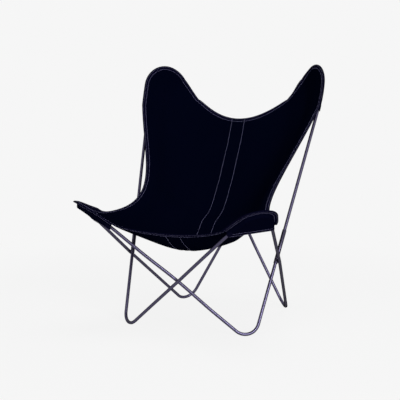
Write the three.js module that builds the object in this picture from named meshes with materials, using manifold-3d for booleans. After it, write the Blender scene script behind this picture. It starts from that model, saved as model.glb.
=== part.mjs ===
// Butterfly sling chair: two rings of bent steel rod carry a canvas sling by four corner pockets.
// Millimetres, +Z up, the chair faces -Y. Lengths along Y are written from a line between the feet and
// are shifted at the end, so that the origin lies on the floor below the middle of the chair's box.

import * as THREE from 'three';
import { mergeVertices } from 'three/addons/utils/BufferGeometryUtils.js';
import Module from 'manifold-3d';

// Rod frame. A ring has four corners: a front foot, a back foot, a front point and a top point.
// A corner's place is where the two straight arms would meet if the bend were sharp.
const rod_diameter = 11;
const foot_bend_radius = 48;
const front_bend_radius = 46;
const top_bend_radius = 60;
const front_foot_half = 236;
const front_foot_y = -236;
const back_foot_half = 202;
const back_foot_y = 236;
const front_point_half = 342;
const front_point_y = -419;
const front_point_z = 472;
const top_point_half = 365;
const top_point_y = 305;
const top_point_z = 990;
const foot_flat_depth = 0.4;

// The sling's pull bends the points: the top ones lean to the sitter, the front ones a little away.
const top_lean = 22;
const top_lean_reach = 155;
const front_lean = -11;
const front_lean_reach = 120;

// Where two rods cross, each is sprung aside over this length on both sides of the crossing.
const spring_reach = 165;

// Joint sleeve on each long leg, and the weld beads at the crossings.
const sleeve_diameter = 14;
const sleeve_length = 120;
const sleeve_chamfer = 1;
const sleeve_start = 285;
const rod_end_gap = 4;
const weld_length = 12;
const weld_width = 8;

// Clearances: between pieces that touch, and between cloth layers in a sewn pocket.
const fit_gap = 0.3;
const layer_gap = 1.2;

// Canvas, hems and seams.
const cloth_thickness = 1.5;
const hem_width = 15;
const centre_band_width = 50;

// Centre line of the sling: front edge, lowest place of the seat, back edge.
const front_edge_y = -355;
const front_edge_z = 340;
const seat_low_y = -165;
const seat_low_z = 262.5;
const back_edge_y = 257;
const back_edge_z = 691;
const seat_front_shares = [[0, 1], [0.237, 0.523], [0.5, 0.148], [0.745, 0.019]];
const seat_back_shares = [
  [0, 0], [0.066, 0.008], [0.13, 0.039], [0.209, 0.095], [0.249, 0.137], [0.28, 0.167], [0.329, 0.194],
  [0.419, 0.218], [0.476, 0.256], [0.538, 0.312], [0.585, 0.363], [0.626, 0.414], [0.694, 0.498],
  [0.777, 0.624], [0.829, 0.699], [0.877, 0.769], [0.917, 0.834], [0.95, 0.902], [1, 1],
];
const shoulder_rise = 17;
const shoulder_reach_share = 0.3;
const hollow_power = 1.4;

// Front pockets: depth along each arm, how far the sewn rim stands off the rod, and its lift at the mouth.
const front_pocket_inner_depth = 182;
const front_pocket_outer_depth = 170;
const front_rim_inner = 28;
const front_rim_nose = 26;
const front_rim_outer = 24;
const front_mouth_lift = 2;

// Back pockets.
const back_pocket_inner_depth = 202;
const back_pocket_outer_depth = 295;
const back_rim_inner = 28;
const back_rim_nose = 28;
const back_rim_outer = 27;
const back_mouth_lift = 2;

// The ear is where the back edge leaves the pocket's straight seam and turns towards the middle.
const back_ear_half = 177;
const back_ear_y = 291;
const back_ear_z = 761;

// Free edges between the pockets are Bezier curves. These are their handles.
const front_edge_middle_pull = 103;
const front_edge_pocket_pull = 12;
const back_edge_middle_pull = 94;
const back_ear_pull_x = -14;
const back_ear_pull_y = 7;
const back_ear_pull_z = -2;
const side_front_pull_x = -168;
const side_front_pull_y = 222;
const side_front_pull_z = -10;
const side_back_pull_x = -68;
const side_back_pull_y = -132;
const side_back_pull_z = -211;
const lift_blend = 6;

// Facet counts.
const rod_sides = 12;
const sleeve_sides = 24;
const bend_steps = 10;
const lean_steps = 6;
const spring_steps = 4;
const panel_columns = 12;
const panel_rows = 42;
const band_columns = 4;
const nose_steps = 12;
const arm_steps = 5;
const wrap_steps = 4;
const flap_middle_share = 0.5;
const track_steps = 48;
const settle_rounds = 20;
const end_crowding_share = 0.45;

const wasm = await Module();
wasm.setup();

const rod_radius = rod_diameter / 2;
const sleeve_radius = sleeve_diameter / 2;
const cloth_half = cloth_thickness / 2;
const sheet_height = rod_radius + fit_gap + cloth_half;

const steel = { color: 0x4c4a58, roughness: 0.32, metalness: 0.85 };
const weld_steel = { color: 0x2e2c36, roughness: 0.6, metalness: 0.7 };
const canvas = { color: 0x10121f, roughness: 0.9, metalness: 0 };
const canvas_under = { color: 0x15182a, roughness: 0.92, metalness: 0 };

const chair = new THREE.Group();

function addPiece(name, geometry, finish) {
  geometry.computeVertexNormals();
  const mesh = new THREE.Mesh(geometry, new THREE.MeshStandardMaterial(finish));
  mesh.name = name;
  chair.add(mesh);
  return mesh;
}

const vec = (x, y, z) => new THREE.Vector3(x, y, z);
const between = (a, b, share) => a.clone().lerp(b, share);
const towards = (a, b) => b.clone().sub(a).normalize();
const mirrored = (a) => a.clone().setX(-a.x);

// One corner of a ring, seen in its own plane: b runs down the middle, s to the outer arm, n to the sitter.
class Corner {
  constructor(tip, inner, outer, radius, lean = 0, lean_reach = 1) {
    this.tip = tip;
    this.lean = lean;
    this.lean_reach = lean_reach;
    this.inner = towards(tip, inner);
    this.outer = towards(tip, outer);
    this.radius = radius;
    this.half_angle = this.inner.angleTo(this.outer) / 2;
    this.b = this.inner.clone().add(this.outer).normalize();
    this.s = this.outer.clone().sub(this.inner).normalize();
    this.n = this.b.clone().cross(this.s).normalize();
    if (this.n.z < 0) this.n.negate();
    this.centre_depth = radius / Math.sin(this.half_angle);
    this.arc_start = radius / Math.tan(this.half_angle);
    this.arc_half = Math.PI / 2 - this.half_angle;
  }

  // How far the bent rod lies out of the flat plane at a depth below the tip.
  rise(depth) {
    const left = 1 - (depth - this.centre_depth + this.radius) / this.lean_reach;
    return this.lean * Math.max(left, 0) ** 2;
  }

  at(across, depth, height) {
    return this.tip.clone().addScaledVector(this.s, across)
      .addScaledVector(this.b, depth).addScaledVector(this.n, height + this.rise(depth));
  }

  heightOf(point) {
    const from_tip = point.clone().sub(this.tip);
    return from_tip.dot(this.n) - this.rise(from_tip.dot(this.b));
  }

  // A point at a distance along an arm, set off outwards from the rod's centre line.
  onArm(side, distance, offset) {
    const sin = Math.sin(this.half_angle);
    const cos = Math.cos(this.half_angle);
    return [side * (sin * distance + cos * offset), cos * distance - sin * offset];
  }

  onNose(turn, offset) {
    const reach = this.radius + offset;
    return [Math.sin(turn) * reach, this.centre_depth - Math.cos(turn) * reach];
  }

  // The bend as points of the rod's centre line, with the leaning part of both arms.
  bend(from_inner) {
    const points = [];
    for (let i = 0; i <= bend_steps; i += 1) {
      const [across, depth] = this.onNose(this.arc_half * (2 * i / bend_steps - 1), 0);
      points.push(this.at(across, depth, 0));
    }
    const lean_end = (this.centre_depth - this.radius + this.lean_reach) / Math.cos(this.half_angle);
    for (let i = 1; this.lean !== 0 && i <= lean_steps; i += 1) {
      const distance = THREE.MathUtils.lerp(this.arc_start, lean_end, i / lean_steps);
      points.unshift(this.at(...this.onArm(-1, distance, 0), 0));
      points.push(this.at(...this.onArm(1, distance, 0), 0));
    }
    return from_inner ? points : points.reverse();
  }
}

// Where two rods come nearest: a point on each centre line, and the unit normal common to both.
function crossing(a, b, c, d) {
  const along = towards(a, b);
  const other = towards(c, d);
  const normal = along.clone().cross(other).normalize();
  const apart = c.clone().sub(a);
  const dot = along.dot(other);
  const reach = (apart.dot(along) - dot * apart.dot(other)) / (1 - dot * dot);
  const back = (dot * apart.dot(along) - apart.dot(other)) / (1 - dot * dot);
  return {
    along, other, normal,
    place: a.clone().addScaledVector(along, reach),
    other_place: c.clone().addScaledVector(other, back),
  };
}

// The right ring stands with its long leg on the right. The left ring is its mirror image.
function ringPoints(side, feet) {
  return {
    side,
    front_foot: vec(side * front_foot_half, front_foot_y, feet.front),
    top: vec(side * top_point_half, top_point_y, top_point_z),
    back_foot: vec(-side * back_foot_half, back_foot_y, feet.back),
    front: vec(-side * front_point_half, front_point_y, front_point_z),
  };
}

// The knuckle is where a ring's side arm is pushed outwards past the sleeve of the other ring's long leg.
function addKnuckle(ring, other) {
  const meet = crossing(other.front_foot, other.top, ring.back_foot, ring.front);
  const outwards = Math.sign(meet.normal.x) * other.side;
  const clearance = sleeve_radius + rod_radius + fit_gap;
  return { ...ring, knuckle: meet.place.clone().addScaledVector(meet.normal, outwards * clearance) };
}

function ringCorners(ring) {
  return {
    foot: new Corner(ring.front_foot, ring.top, ring.front, foot_bend_radius),
    front: new Corner(ring.front, ring.front_foot, ring.knuckle, front_bend_radius, front_lean, front_lean_reach),
    heel: new Corner(ring.back_foot, ring.knuckle, ring.top, foot_bend_radius),
    top: new Corner(ring.top, ring.back_foot, ring.front_foot, top_bend_radius, top_lean, top_lean_reach),
  };
}

// How far below its lowest point a foot's bend reaches, so that it can be set on the floor.
function footDrop(corner) {
  const middle = corner.at(0, corner.centre_depth, 0).z;
  return Math.hypot(corner.b.z, corner.s.z) * corner.radius + rod_radius - middle;
}

function settleRings() {
  const feet = { front: 0, back: 0 };
  let rings = [];
  for (let round = 0; round < settle_rounds; round += 1) {
    const pair = [-1, 1].map((side) => ringPoints(side, feet));
    rings = [addKnuckle(pair[0], pair[1]), addKnuckle(pair[1], pair[0])];
    const { foot, heel } = ringCorners(rings[0]);
    feet.front += footDrop(foot) - foot_flat_depth;
    feet.back += footDrop(heel) - foot_flat_depth;
  }
  return rings;
}

const [ring_left, ring_right] = settleRings();
const corners_left = ringCorners(ring_left);
const corners_right = ringCorners(ring_right);

// Points of an arm that is sprung aside at its crossing with the mirrored arm of the other ring.
function springArm(a, b, sideways) {
  const meet = crossing(a, b, mirrored(a), mirrored(b));
  const push = meet.normal.clone().multiplyScalar(Math.sign(meet.normal.y) * sideways);
  const points = [];
  for (let i = -spring_steps; i <= spring_steps; i += 1) {
    const share = i / spring_steps;
    const height = ((rod_diameter + fit_gap) / 2) * Math.cos((Math.PI / 2) * share) ** 2;
    points.push(meet.place.clone().addScaledVector(meet.along, share * spring_reach).addScaledVector(push, height));
  }
  return points;
}

// A rod that follows given points: its steps are the points, so straight arms take a single step.
class RodLine extends THREE.Curve {
  constructor(points) {
    super();
    this.points = points;
  }

  getPoint(t, target = new THREE.Vector3()) {
    const place = t * (this.points.length - 1);
    const index = Math.min(Math.floor(place), this.points.length - 2);
    return target.lerpVectors(this.points[index], this.points[index + 1], place - index);
  }

  getPointAt(u, target) {
    return this.getPoint(u, target);
  }

  getTangentAt(u, target = new THREE.Vector3()) {
    const last = this.points.length - 1;
    const index = Math.round(u * last);
    const from = this.points[Math.max(index - 1, 0)];
    const here = this.points[index];
    const to = this.points[Math.min(index + 1, last)];
    const tangent = target.set(0, 0, 0);
    if (index > 0) tangent.add(towards(from, here));
    if (index < last) tangent.add(towards(here, to));
    return tangent.normalize();
  }
}

function circleShape(radius, sides) {
  const points = [];
  for (let i = 0; i < sides; i += 1) {
    const turn = (2 * Math.PI * i) / sides;
    points.push(new THREE.Vector2(Math.cos(turn) * radius, Math.sin(turn) * radius));
  }
  return new THREE.Shape(points);
}

function rodAlong(points, radius) {
  const line = new RodLine(points);
  return new THREE.ExtrudeGeometry(circleShape(radius, rod_sides), {
    steps: points.length - 1, bevelEnabled: false, extrudePath: line,
  });
}

function closedGeometry(geometry) {
  const bare = geometry.clone();
  bare.deleteAttribute('normal');
  bare.deleteAttribute('uv');
  return mergeVertices(bare, 1e-3);
}

function toSolid(geometry) {
  const closed = closedGeometry(geometry);
  return new wasm.Manifold(new wasm.Mesh({
    numProp: 3,
    vertProperties: new Float32Array(closed.attributes.position.array),
    triVerts: new Uint32Array(closed.index.array),
  }));
}

function toGeometry(solid) {
  const mesh = solid.getMesh();
  const geometry = new THREE.BufferGeometry();
  geometry.setAttribute('position', new THREE.BufferAttribute(new Float32Array(mesh.vertProperties), 3));
  geometry.setIndex(new THREE.BufferAttribute(new Uint32Array(mesh.triVerts), 1));
  return geometry;
}

// The long leg runs from the front foot to the top point. Its sleeve covers the place where the rod's ends meet.
function legOf(ring) {
  const up = towards(ring.front_foot, ring.top);
  const low = ring.front_foot.clone().addScaledVector(up, sleeve_start);
  const high = low.clone().addScaledVector(up, sleeve_length);
  return { up, low, high, middle: between(low, high, 1 / 2) };
}

const leg_left = legOf(ring_left);
const leg_right = legOf(ring_right);

// One rod, bent at four corners, with both ends in the sleeve.
function ringRod(ring, corners, leg) {
  const lower_end = leg.middle.clone().addScaledVector(leg.up, -rod_end_gap / 2);
  const upper_end = leg.middle.clone().addScaledVector(leg.up, rod_end_gap / 2);
  const points = [
    lower_end,
    ...corners.foot.bend(true),
    ...springArm(ring.front_foot, ring.front, ring.side),
    ...corners.front.bend(true),
    ring.knuckle,
    ...corners.heel.bend(true),
    ...springArm(ring.back_foot, ring.top, -ring.side),
    ...corners.top.bend(true),
    upper_end,
  ];
  return toSolid(rodAlong(points, rod_radius));
}

// Each foot is ground flat where it meets the floor.
const floor_size = 4 * top_point_z;
const below_floor = new THREE.BoxGeometry(floor_size, floor_size, rod_diameter);
below_floor.translate(0, 0, -rod_radius);
const floor_solid = toSolid(below_floor);

addPiece('ring_rod_left', toGeometry(ringRod(ring_left, corners_left, leg_left).subtract(floor_solid)), steel);
addPiece('ring_rod_right', toGeometry(ringRod(ring_right, corners_right, leg_right).subtract(floor_solid)), steel);

function sleeveGeometry() {
  const bore = rod_radius + fit_gap;
  const profile = [
    [bore, 0], [sleeve_radius - sleeve_chamfer, 0], [sleeve_radius, sleeve_chamfer],
    [sleeve_radius, sleeve_length - sleeve_chamfer], [sleeve_radius - sleeve_chamfer, sleeve_length],
    [bore, sleeve_length], [bore, 0],
  ].map(([radius, height]) => new THREE.Vector2(radius, height));
  return closedGeometry(new THREE.LatheGeometry(profile, sleeve_sides));
}

function addSleeve(name, leg) {
  const sleeve = addPiece(name, sleeveGeometry(), steel);
  sleeve.position.copy(leg.low);
  sleeve.quaternion.setFromUnitVectors(vec(0, 1, 0), leg.up);
}

addSleeve('joint_sleeve_left', leg_left);
addSleeve('joint_sleeve_right', leg_right);

// A weld bead fills one notch of a crossing, between two rods that touch at a contact point.
function weldBead(contact, normal, along, other, radii, notch) {
  const axis = along.clone().multiplyScalar(notch).add(other).normalize();
  const bead = new THREE.SphereGeometry(weld_width / 2, rod_sides, rod_sides / 2);
  bead.scale(1, weld_length / weld_width, 1);
  bead.applyQuaternion(new THREE.Quaternion().setFromUnitVectors(vec(0, 1, 0), axis));
  const place = contact.clone().addScaledVector(axis, rod_radius / Math.sin(axis.angleTo(other)));
  bead.translate(place.x, place.y, place.z);
  const cuts = [[along, -radii[0]], [other, radii[1]]].map(([direction, offset]) => {
    const middle = contact.clone().addScaledVector(normal, offset + Math.sign(offset) * fit_gap / 2);
    const ends = [-1, 1].map((end) => middle.clone().addScaledVector(direction, end * sleeve_length));
    return toSolid(rodAlong(ends, Math.abs(offset) + fit_gap));
  });
  const pieces = toSolid(bead).subtract(cuts[0]).subtract(cuts[1]).decompose();
  pieces.sort((one, two) => two.volume() - one.volume());
  return toGeometry(pieces[0]);
}

function addArmWeld(name, arm, sideways) {
  const [a, b] = arm;
  const meet = crossing(a, b, mirrored(a), mirrored(b));
  const outwards = meet.normal.clone().multiplyScalar(Math.sign(meet.normal.y) * -sideways);
  const radii = [rod_radius, rod_radius];
  addPiece(name, weldBead(meet.place, outwards, meet.along, meet.other, radii, 1), weld_steel);
}

function addSideWeld(name, ring, other) {
  const meet = crossing(other.front_foot, other.top, ring.back_foot, ring.front);
  const outwards = towards(meet.place, ring.knuckle);
  const contact = meet.place.clone().addScaledVector(outwards, sleeve_radius + fit_gap / 2);
  const radii = [sleeve_radius, rod_radius];
  addPiece(name, weldBead(contact, outwards, meet.along, meet.other, radii, -1), weld_steel);
}

addArmWeld('weld_front', [ring_left.front_foot, ring_left.front], -1);
addArmWeld('weld_back', [ring_left.back_foot, ring_left.top], 1);
addSideWeld('weld_left', ring_right, ring_left);
addSideWeld('weld_right', ring_left, ring_right);

// A line of points that is read by its share of the whole length.
class Track {
  constructor(points) {
    this.points = points;
    this.places = [0];
    for (let i = 1; i < points.length; i += 1) {
      this.places.push(this.places[i - 1] + points[i].distanceTo(points[i - 1]));
    }
    this.length = this.places[points.length - 1];
  }

  at(share) {
    const place = Math.min(Math.max(share, 0), 1) * this.length;
    let index = 0;
    while (index < this.points.length - 2 && this.places[index + 1] < place) index += 1;
    const step = this.places[index + 1] - this.places[index];
    return between(this.points[index], this.points[index + 1], (place - this.places[index]) / step);
  }
}

const front_lobe = {
  depths: [front_pocket_inner_depth, front_pocket_outer_depth],
  rims: [front_rim_inner, front_rim_nose, front_rim_outer],
  lift: front_mouth_lift,
};
const back_lobe = {
  depths: [back_pocket_inner_depth, back_pocket_outer_depth],
  rims: [back_rim_inner, back_rim_nose, back_rim_outer],
  lift: back_mouth_lift,
};

// Stations round a corner pocket, from the inner mouth over the nose to the outer mouth.
function stations(corner, lobe, arm_count, nose_count) {
  const list = [];
  for (let i = 0; i < arm_count; i += 1) {
    const share = i / arm_count;
    list.push({
      side: -1, distance: THREE.MathUtils.lerp(lobe.depths[0], corner.arc_start, share),
      rim: THREE.MathUtils.lerp(lobe.rims[0], lobe.rims[1], share), open: 1 - share,
    });
  }
  for (let i = 0; i <= nose_count; i += 1) {
    list.push({ turn: corner.arc_half * (2 * i / nose_count - 1), rim: lobe.rims[1], open: 0 });
  }
  for (let i = 1; i <= arm_count; i += 1) {
    const share = i / arm_count;
    list.push({
      side: 1, distance: THREE.MathUtils.lerp(corner.arc_start, lobe.depths[1], share),
      rim: THREE.MathUtils.lerp(lobe.rims[1], lobe.rims[2], share), open: share,
    });
  }
  return list;
}

function placeAt(corner, station, offset) {
  return 'turn' in station
    ? corner.onNose(station.turn, offset) : corner.onArm(station.side, station.distance, offset);
}

function rimPoint(corner, lobe, station) {
  const [across, depth] = placeAt(corner, station, station.rim);
  return corner.at(across, depth, sheet_height + lobe.lift * station.open ** 2);
}

function bezierPoints(a, b, c, d) {
  return new THREE.CubicBezierCurve3(a, b, c, d).getPoints(track_steps);
}

function centreLine() {
  const points = seat_front_shares.map(([run, rise]) => vec(0,
    THREE.MathUtils.lerp(front_edge_y, seat_low_y, run), THREE.MathUtils.lerp(seat_low_z, front_edge_z, rise)));
  points.push(...seat_back_shares.map(([run, rise]) => vec(0,
    THREE.MathUtils.lerp(seat_low_y, back_edge_y, run), THREE.MathUtils.lerp(seat_low_z, back_edge_z, rise))));
  return new THREE.CatmullRomCurve3(points, false, 'centripetal').getPoints(track_steps * 4);
}

// Half of the sling, from the centre line out to one side edge.
class SlingHalf {
  constructor(side, front_corner, back_corner) {
    this.side = side;
    this.front = front_corner;
    this.back = back_corner;
    const front_rim = stations(front_corner, front_lobe, track_steps, track_steps)
      .map((station) => rimPoint(front_corner, front_lobe, station));
    const back_rim = stations(back_corner, back_lobe, track_steps, track_steps)
      .map((station) => rimPoint(back_corner, back_lobe, station));
    const middle = (front_rim.length - 1) / 2;
    const front_middle = vec(0, front_edge_y, front_edge_z);
    const back_middle = vec(0, back_edge_y, back_edge_z);
    const front_free = bezierPoints(front_middle,
      front_middle.clone().setX(side * front_edge_middle_pull),
      front_rim[0].clone().addScaledVector(front_corner.inner, front_edge_pocket_pull), front_rim[0]);
    const ear = vec(side * back_ear_half, back_ear_y, back_ear_z);
    const back_free = bezierPoints(back_middle,
      back_middle.clone().setX(side * back_edge_middle_pull),
      ear.clone().add(vec(side * back_ear_pull_x, back_ear_pull_y, back_ear_pull_z)), ear);
    back_free.push(back_rim[0]);
    const front_mouth = front_rim[front_rim.length - 1];
    const back_mouth = back_rim[back_rim.length - 1];
    const side_free = bezierPoints(front_mouth,
      front_mouth.clone().add(vec(side * side_front_pull_x, side_front_pull_y, side_front_pull_z)),
      back_mouth.clone().add(vec(side * side_back_pull_x, side_back_pull_y, side_back_pull_z)), back_mouth);
    this.front_edge = new Track([...front_free, ...front_rim.slice(1, middle + 1)]);
    this.back_edge = new Track([...back_free, ...back_rim.slice(1, middle + 1)]);
    this.side_edge = new Track([
      ...front_rim.slice(middle), ...side_free.slice(1), ...back_rim.slice(middle, -1).reverse(),
    ]);
    this.centre = new Track(centreLine());
    this.front_mouth_share = new Track(front_rim.slice(middle)).length / this.side_edge.length;
    this.back_mouth_share = 1 - new Track(back_rim.slice(middle)).length / this.side_edge.length;
    this.front_free_share = new Track(front_free).length / this.front_edge.length;
    this.back_free_share = new Track(back_free).length / this.back_edge.length;
  }

  // A patch that meets the four edges. The hollow between centre and side follows a power curve.
  blend(u, v, mix) {
    const sum = vec(0, 0, 0);
    sum.addScaledVector(this.front_edge.at(u), 1 - v).addScaledVector(this.back_edge.at(u), v);
    sum.addScaledVector(this.centre.at(v), 1 - mix).addScaledVector(this.side_edge.at(v), mix);
    sum.addScaledVector(this.front_edge.at(0), -(1 - mix) * (1 - v));
    sum.addScaledVector(this.back_edge.at(0), -(1 - mix) * v);
    sum.addScaledVector(this.front_edge.at(1), -mix * (1 - v));
    sum.addScaledVector(this.back_edge.at(1), -mix * v);
    return sum;
  }

  // Keep the cloth on the sitter's side of a corner's rods.
  lift(point, corner) {
    const spare = (corner.heightOf(point) - sheet_height) / lift_blend;
    if (spare < 6) point.addScaledVector(corner.n, lift_blend * Math.log1p(Math.exp(-4 * spare)) / 4);
    return point;
  }

  at(u, v) {
    const point = this.blend(u, v, u ** hollow_power).setX(this.blend(u, v, u).x);
    const reach = Math.min(v / shoulder_reach_share, 1);
    point.z += shoulder_rise * (Math.sin(Math.PI * u) * Math.sin(Math.PI * reach)) ** 2;
    return this.lift(this.lift(point, this.front), this.back);
  }

  normal(u, v) {
    const step = 1e-3;
    const along_u = this.at(Math.min(u + step, 1), v).sub(this.at(Math.max(u - step, 0), v));
    const along_v = this.at(u, Math.min(v + step, 1)).sub(this.at(u, Math.max(v - step, 0)));
    const facing = along_u.clone().cross(along_v).multiplyScalar(this.side);
    const flatness = facing.length() / (along_u.length() * along_v.length());
    if (flatness > 0.25) return facing.normalize();
    return (v < 1 / 2 ? this.front : this.back).n.clone();
  }

  // The share u at which the cloth is a given distance from the chair's middle.
  shareAtWidth(width, v) {
    let low = 0;
    let high = 1 / 2;
    for (let i = 0; i < track_steps; i += 1) {
      const middle = (low + high) / 2;
      if (Math.abs(this.at(middle, v).x) < width) low = middle;
      else high = middle;
    }
    return low;
  }

  rows() {
    const hem_share = hem_width / this.side_edge.length;
    const list = [0];
    for (let i = 0; i <= panel_rows - 2; i += 1) {
      const t = i / (panel_rows - 2);
      const eased = t - (end_crowding_share * Math.sin(2 * Math.PI * t)) / (2 * Math.PI);
      list.push(THREE.MathUtils.lerp(hem_share, 1 - hem_share, eased));
    }
    list.push(1);
    return list;
  }

  // Columns of one row, from a width beside the middle out to the side edge, the last one a hem wide.
  columns(width, v) {
    const start = this.shareAtWidth(width, v);
    const row_length = this.at(start, v).distanceTo(this.at(1, v));
    const hem_share = hem_width / row_length * (1 - start);
    const list = [];
    for (let i = 0; i < panel_columns; i += 1) {
      list.push(THREE.MathUtils.lerp(start, 1 - hem_share, i / (panel_columns - 1)));
    }
    list.push(1);
    return list;
  }

  sample(u, v) {
    return { point: this.at(u, v), normal: this.normal(u, v) };
  }
}

// A closed sheet from rows of samples, between two offsets along the normals.
function sheetGeometry(rows, top, bottom) {
  const row_count = rows.length;
  const column_count = rows[0].length;
  const positions = [];
  for (const offset of [top, bottom]) {
    for (const row of rows) {
      for (const { point, normal } of row) {
        positions.push(...point.clone().addScaledVector(normal, offset).toArray());
      }
    }
  }
  const layer = row_count * column_count;
  const index = [];
  const quad = (a, b, c, d) => index.push(a, b, c, a, c, d);
  for (let i = 0; i < row_count - 1; i += 1) {
    for (let j = 0; j < column_count - 1; j += 1) {
      const a = i * column_count + j;
      const b = a + 1;
      const c = b + column_count;
      const d = a + column_count;
      quad(a, b, c, d);
      quad(layer + a, layer + d, layer + c, layer + b);
    }
  }
  const rim = [];
  for (let j = 0; j < column_count - 1; j += 1) rim.push(j);
  for (let i = 0; i < row_count - 1; i += 1) rim.push(i * column_count + column_count - 1);
  for (let j = column_count - 1; j > 0; j -= 1) rim.push((row_count - 1) * column_count + j);
  for (let i = row_count - 1; i > 0; i -= 1) rim.push(i * column_count);
  rim.forEach((a, k) => {
    const b = rim[(k + 1) % rim.length];
    quad(a, a + layer, b + layer, b);
  });
  const geometry = new THREE.BufferGeometry();
  geometry.setAttribute('position', new THREE.Float32BufferAttribute(positions, 3));
  geometry.setIndex(index);
  return geometry;
}

const half_left = new SlingHalf(-1, corners_right.front, corners_left.top);
const half_right = new SlingHalf(1, corners_left.front, corners_right.top);
const rows_left = half_left.rows();
const rows_right = half_right.rows();
const panel_start = (centre_band_width + fit_gap) / 2;
const band_end = (centre_band_width - fit_gap) / 2;

// Samples of a panel, listed from left to right so that the top side faces the sitter.
function panelSamples(half, rows) {
  return rows.map((v) => {
    const row = half.columns(panel_start, v).map((u) => half.sample(u, v));
    return half.side > 0 ? row : row.reverse();
  });
}

const panel_left = panelSamples(half_left, rows_left);
const panel_right = panelSamples(half_right, rows_right);

const band = rows_right.map((v, i) => {
  const row = [];
  for (let j = 0; j <= band_columns; j += 1) {
    const side_share = (2 * j) / band_columns - 1;
    const half = side_share < 0 ? half_left : half_right;
    const row_v = side_share < 0 ? rows_left[i] : v;
    row.push(half.sample(half.shareAtWidth(band_end, row_v) * Math.abs(side_share), row_v));
  }
  return row;
});

addPiece('seat_panel_left', sheetGeometry(panel_left, cloth_half, -cloth_half), canvas);
addPiece('seat_panel_right', sheetGeometry(panel_right, cloth_half, -cloth_half), canvas);
addPiece('centre_band', sheetGeometry(band, cloth_half, -cloth_half), canvas);

// The hem is the edge turned under: a second layer below the panel's outermost strip.
const hem_top = -cloth_half - fit_gap;
const hem_bottom = hem_top - cloth_thickness;

function sideHem(half, rows, panel) {
  const kept = panel.filter((row, i) => rows[i] > half.front_mouth_share && rows[i] < half.back_mouth_share);
  return kept.map((row) => (half.side > 0 ? row.slice(-2) : row.slice(0, 2)));
}

// The strip between two pockets, across the left panel, the band and the right panel.
function endHem(pick, free_share) {
  const count = Math.floor(panel_columns * free_share);
  const [left, middle, right] = [panel_left, band, panel_right].map(pick);
  return left.map((row, i) => [...row.slice(-count), ...middle[i], ...right[i].slice(0, count)]);
}

function addHem(name, samples) {
  addPiece(name, sheetGeometry(samples, hem_top, hem_bottom), canvas_under);
}

addHem('hem_left', sideHem(half_left, rows_left, panel_left));
addHem('hem_right', sideHem(half_right, rows_right, panel_right));
addHem('hem_front', endHem((rows) => rows.slice(0, 2), half_right.front_free_share));
addHem('hem_back', endHem((rows) => rows.slice(-2), half_right.back_free_share));

// A closed shell of even thickness over any open surface. Its side walls stand on the free edges.
function shellGeometry(points, triangles, top, bottom) {
  const surface = new THREE.BufferGeometry().setFromPoints(points);
  surface.setIndex(triangles);
  surface.computeVertexNormals();
  const normals = surface.attributes.normal;
  const positions = [];
  for (const offset of [top, bottom]) {
    points.forEach((point, i) => {
      const normal = vec(normals.getX(i), normals.getY(i), normals.getZ(i));
      positions.push(...point.clone().addScaledVector(normal, offset).toArray());
    });
  }
  const used = new Set();
  for (let i = 0; i < triangles.length; i += 3) {
    for (let k = 0; k < 3; k += 1) used.add(`${triangles[i + k]},${triangles[i + ((k + 1) % 3)]}`);
  }
  const layer = points.length;
  const index = [...triangles];
  for (let i = 0; i < triangles.length; i += 3) {
    index.push(layer + triangles[i], layer + triangles[i + 2], layer + triangles[i + 1]);
  }
  used.forEach((edge) => {
    const [a, b] = edge.split(',').map(Number);
    if (!used.has(`${b},${a}`)) index.push(a, a + layer, b + layer, a, b + layer, b);
  });
  const geometry = new THREE.BufferGeometry();
  geometry.setAttribute('position', new THREE.Float32BufferAttribute(positions, 3));
  geometry.setIndex(index);
  return geometry;
}

// A corner pocket: sewn under the sheet along the rim, wrapped round the rod, flat below it to the middle.
function pocketGeometry(corner, lobe) {
  const wrap = rod_radius + layer_gap + cloth_half;
  const flap_height = sheet_height - cloth_thickness - fit_gap;
  const list = stations(corner, lobe, arm_steps, nose_steps);
  const last = list.length - 1;
  const mouth_depth = Math.cos(corner.half_angle) * (lobe.depths[0] + lobe.depths[1]) / 2;
  const points = [];
  const grid = list.map((station, i) => {
    const lift = lobe.lift * station.open ** 2;
    const profile = [
      [station.rim, flap_height + lift], [THREE.MathUtils.lerp(wrap, station.rim, flap_middle_share), flap_height],
      [wrap + cloth_thickness, flap_height],
    ];
    for (let k = 0; k <= wrap_steps; k += 1) {
      const turn = (Math.PI / 2) * (k / wrap_steps);
      profile.push([Math.cos(turn) * wrap, -Math.sin(turn) * wrap]);
    }
    const row = profile.map(([offset, height]) => {
      const [across, depth] = placeAt(corner, station, offset);
      points.push(corner.at(across, depth, height));
      return points.length - 1;
    });
    return { row, mirror: last - i, open: station.open };
  });
  const spine = new Map();
  grid.forEach(({ row, mirror, open }, i) => {
    const key = open > 0 ? Math.min(i, mirror) : -1;
    if (!spine.has(key)) {
      points.push(corner.at(0, THREE.MathUtils.lerp(corner.centre_depth, mouth_depth, open), -wrap));
      spine.set(key, points.length - 1);
    }
    row.push(spine.get(key));
  });
  const triangles = [];
  const add = (a, b, c) => {
    if (a !== b && b !== c && c !== a) triangles.push(a, b, c);
  };
  for (let i = 0; i < last; i += 1) {
    for (let j = 0; j < grid[i].row.length - 1; j += 1) {
      const [a, b] = [grid[i].row[j], grid[i + 1].row[j]];
      const [d, c] = [grid[i].row[j + 1], grid[i + 1].row[j + 1]];
      add(a, b, c);
      add(a, c, d);
    }
  }
  return shellGeometry(points, triangles, cloth_half, -cloth_half);
}

addPiece('pocket_front_left', pocketGeometry(corners_right.front, front_lobe), canvas_under);
addPiece('pocket_front_right', pocketGeometry(corners_left.front, front_lobe), canvas_under);
addPiece('pocket_back_left', pocketGeometry(corners_left.top, back_lobe), canvas_under);
addPiece('pocket_back_right', pocketGeometry(corners_right.top, back_lobe), canvas_under);

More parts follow.
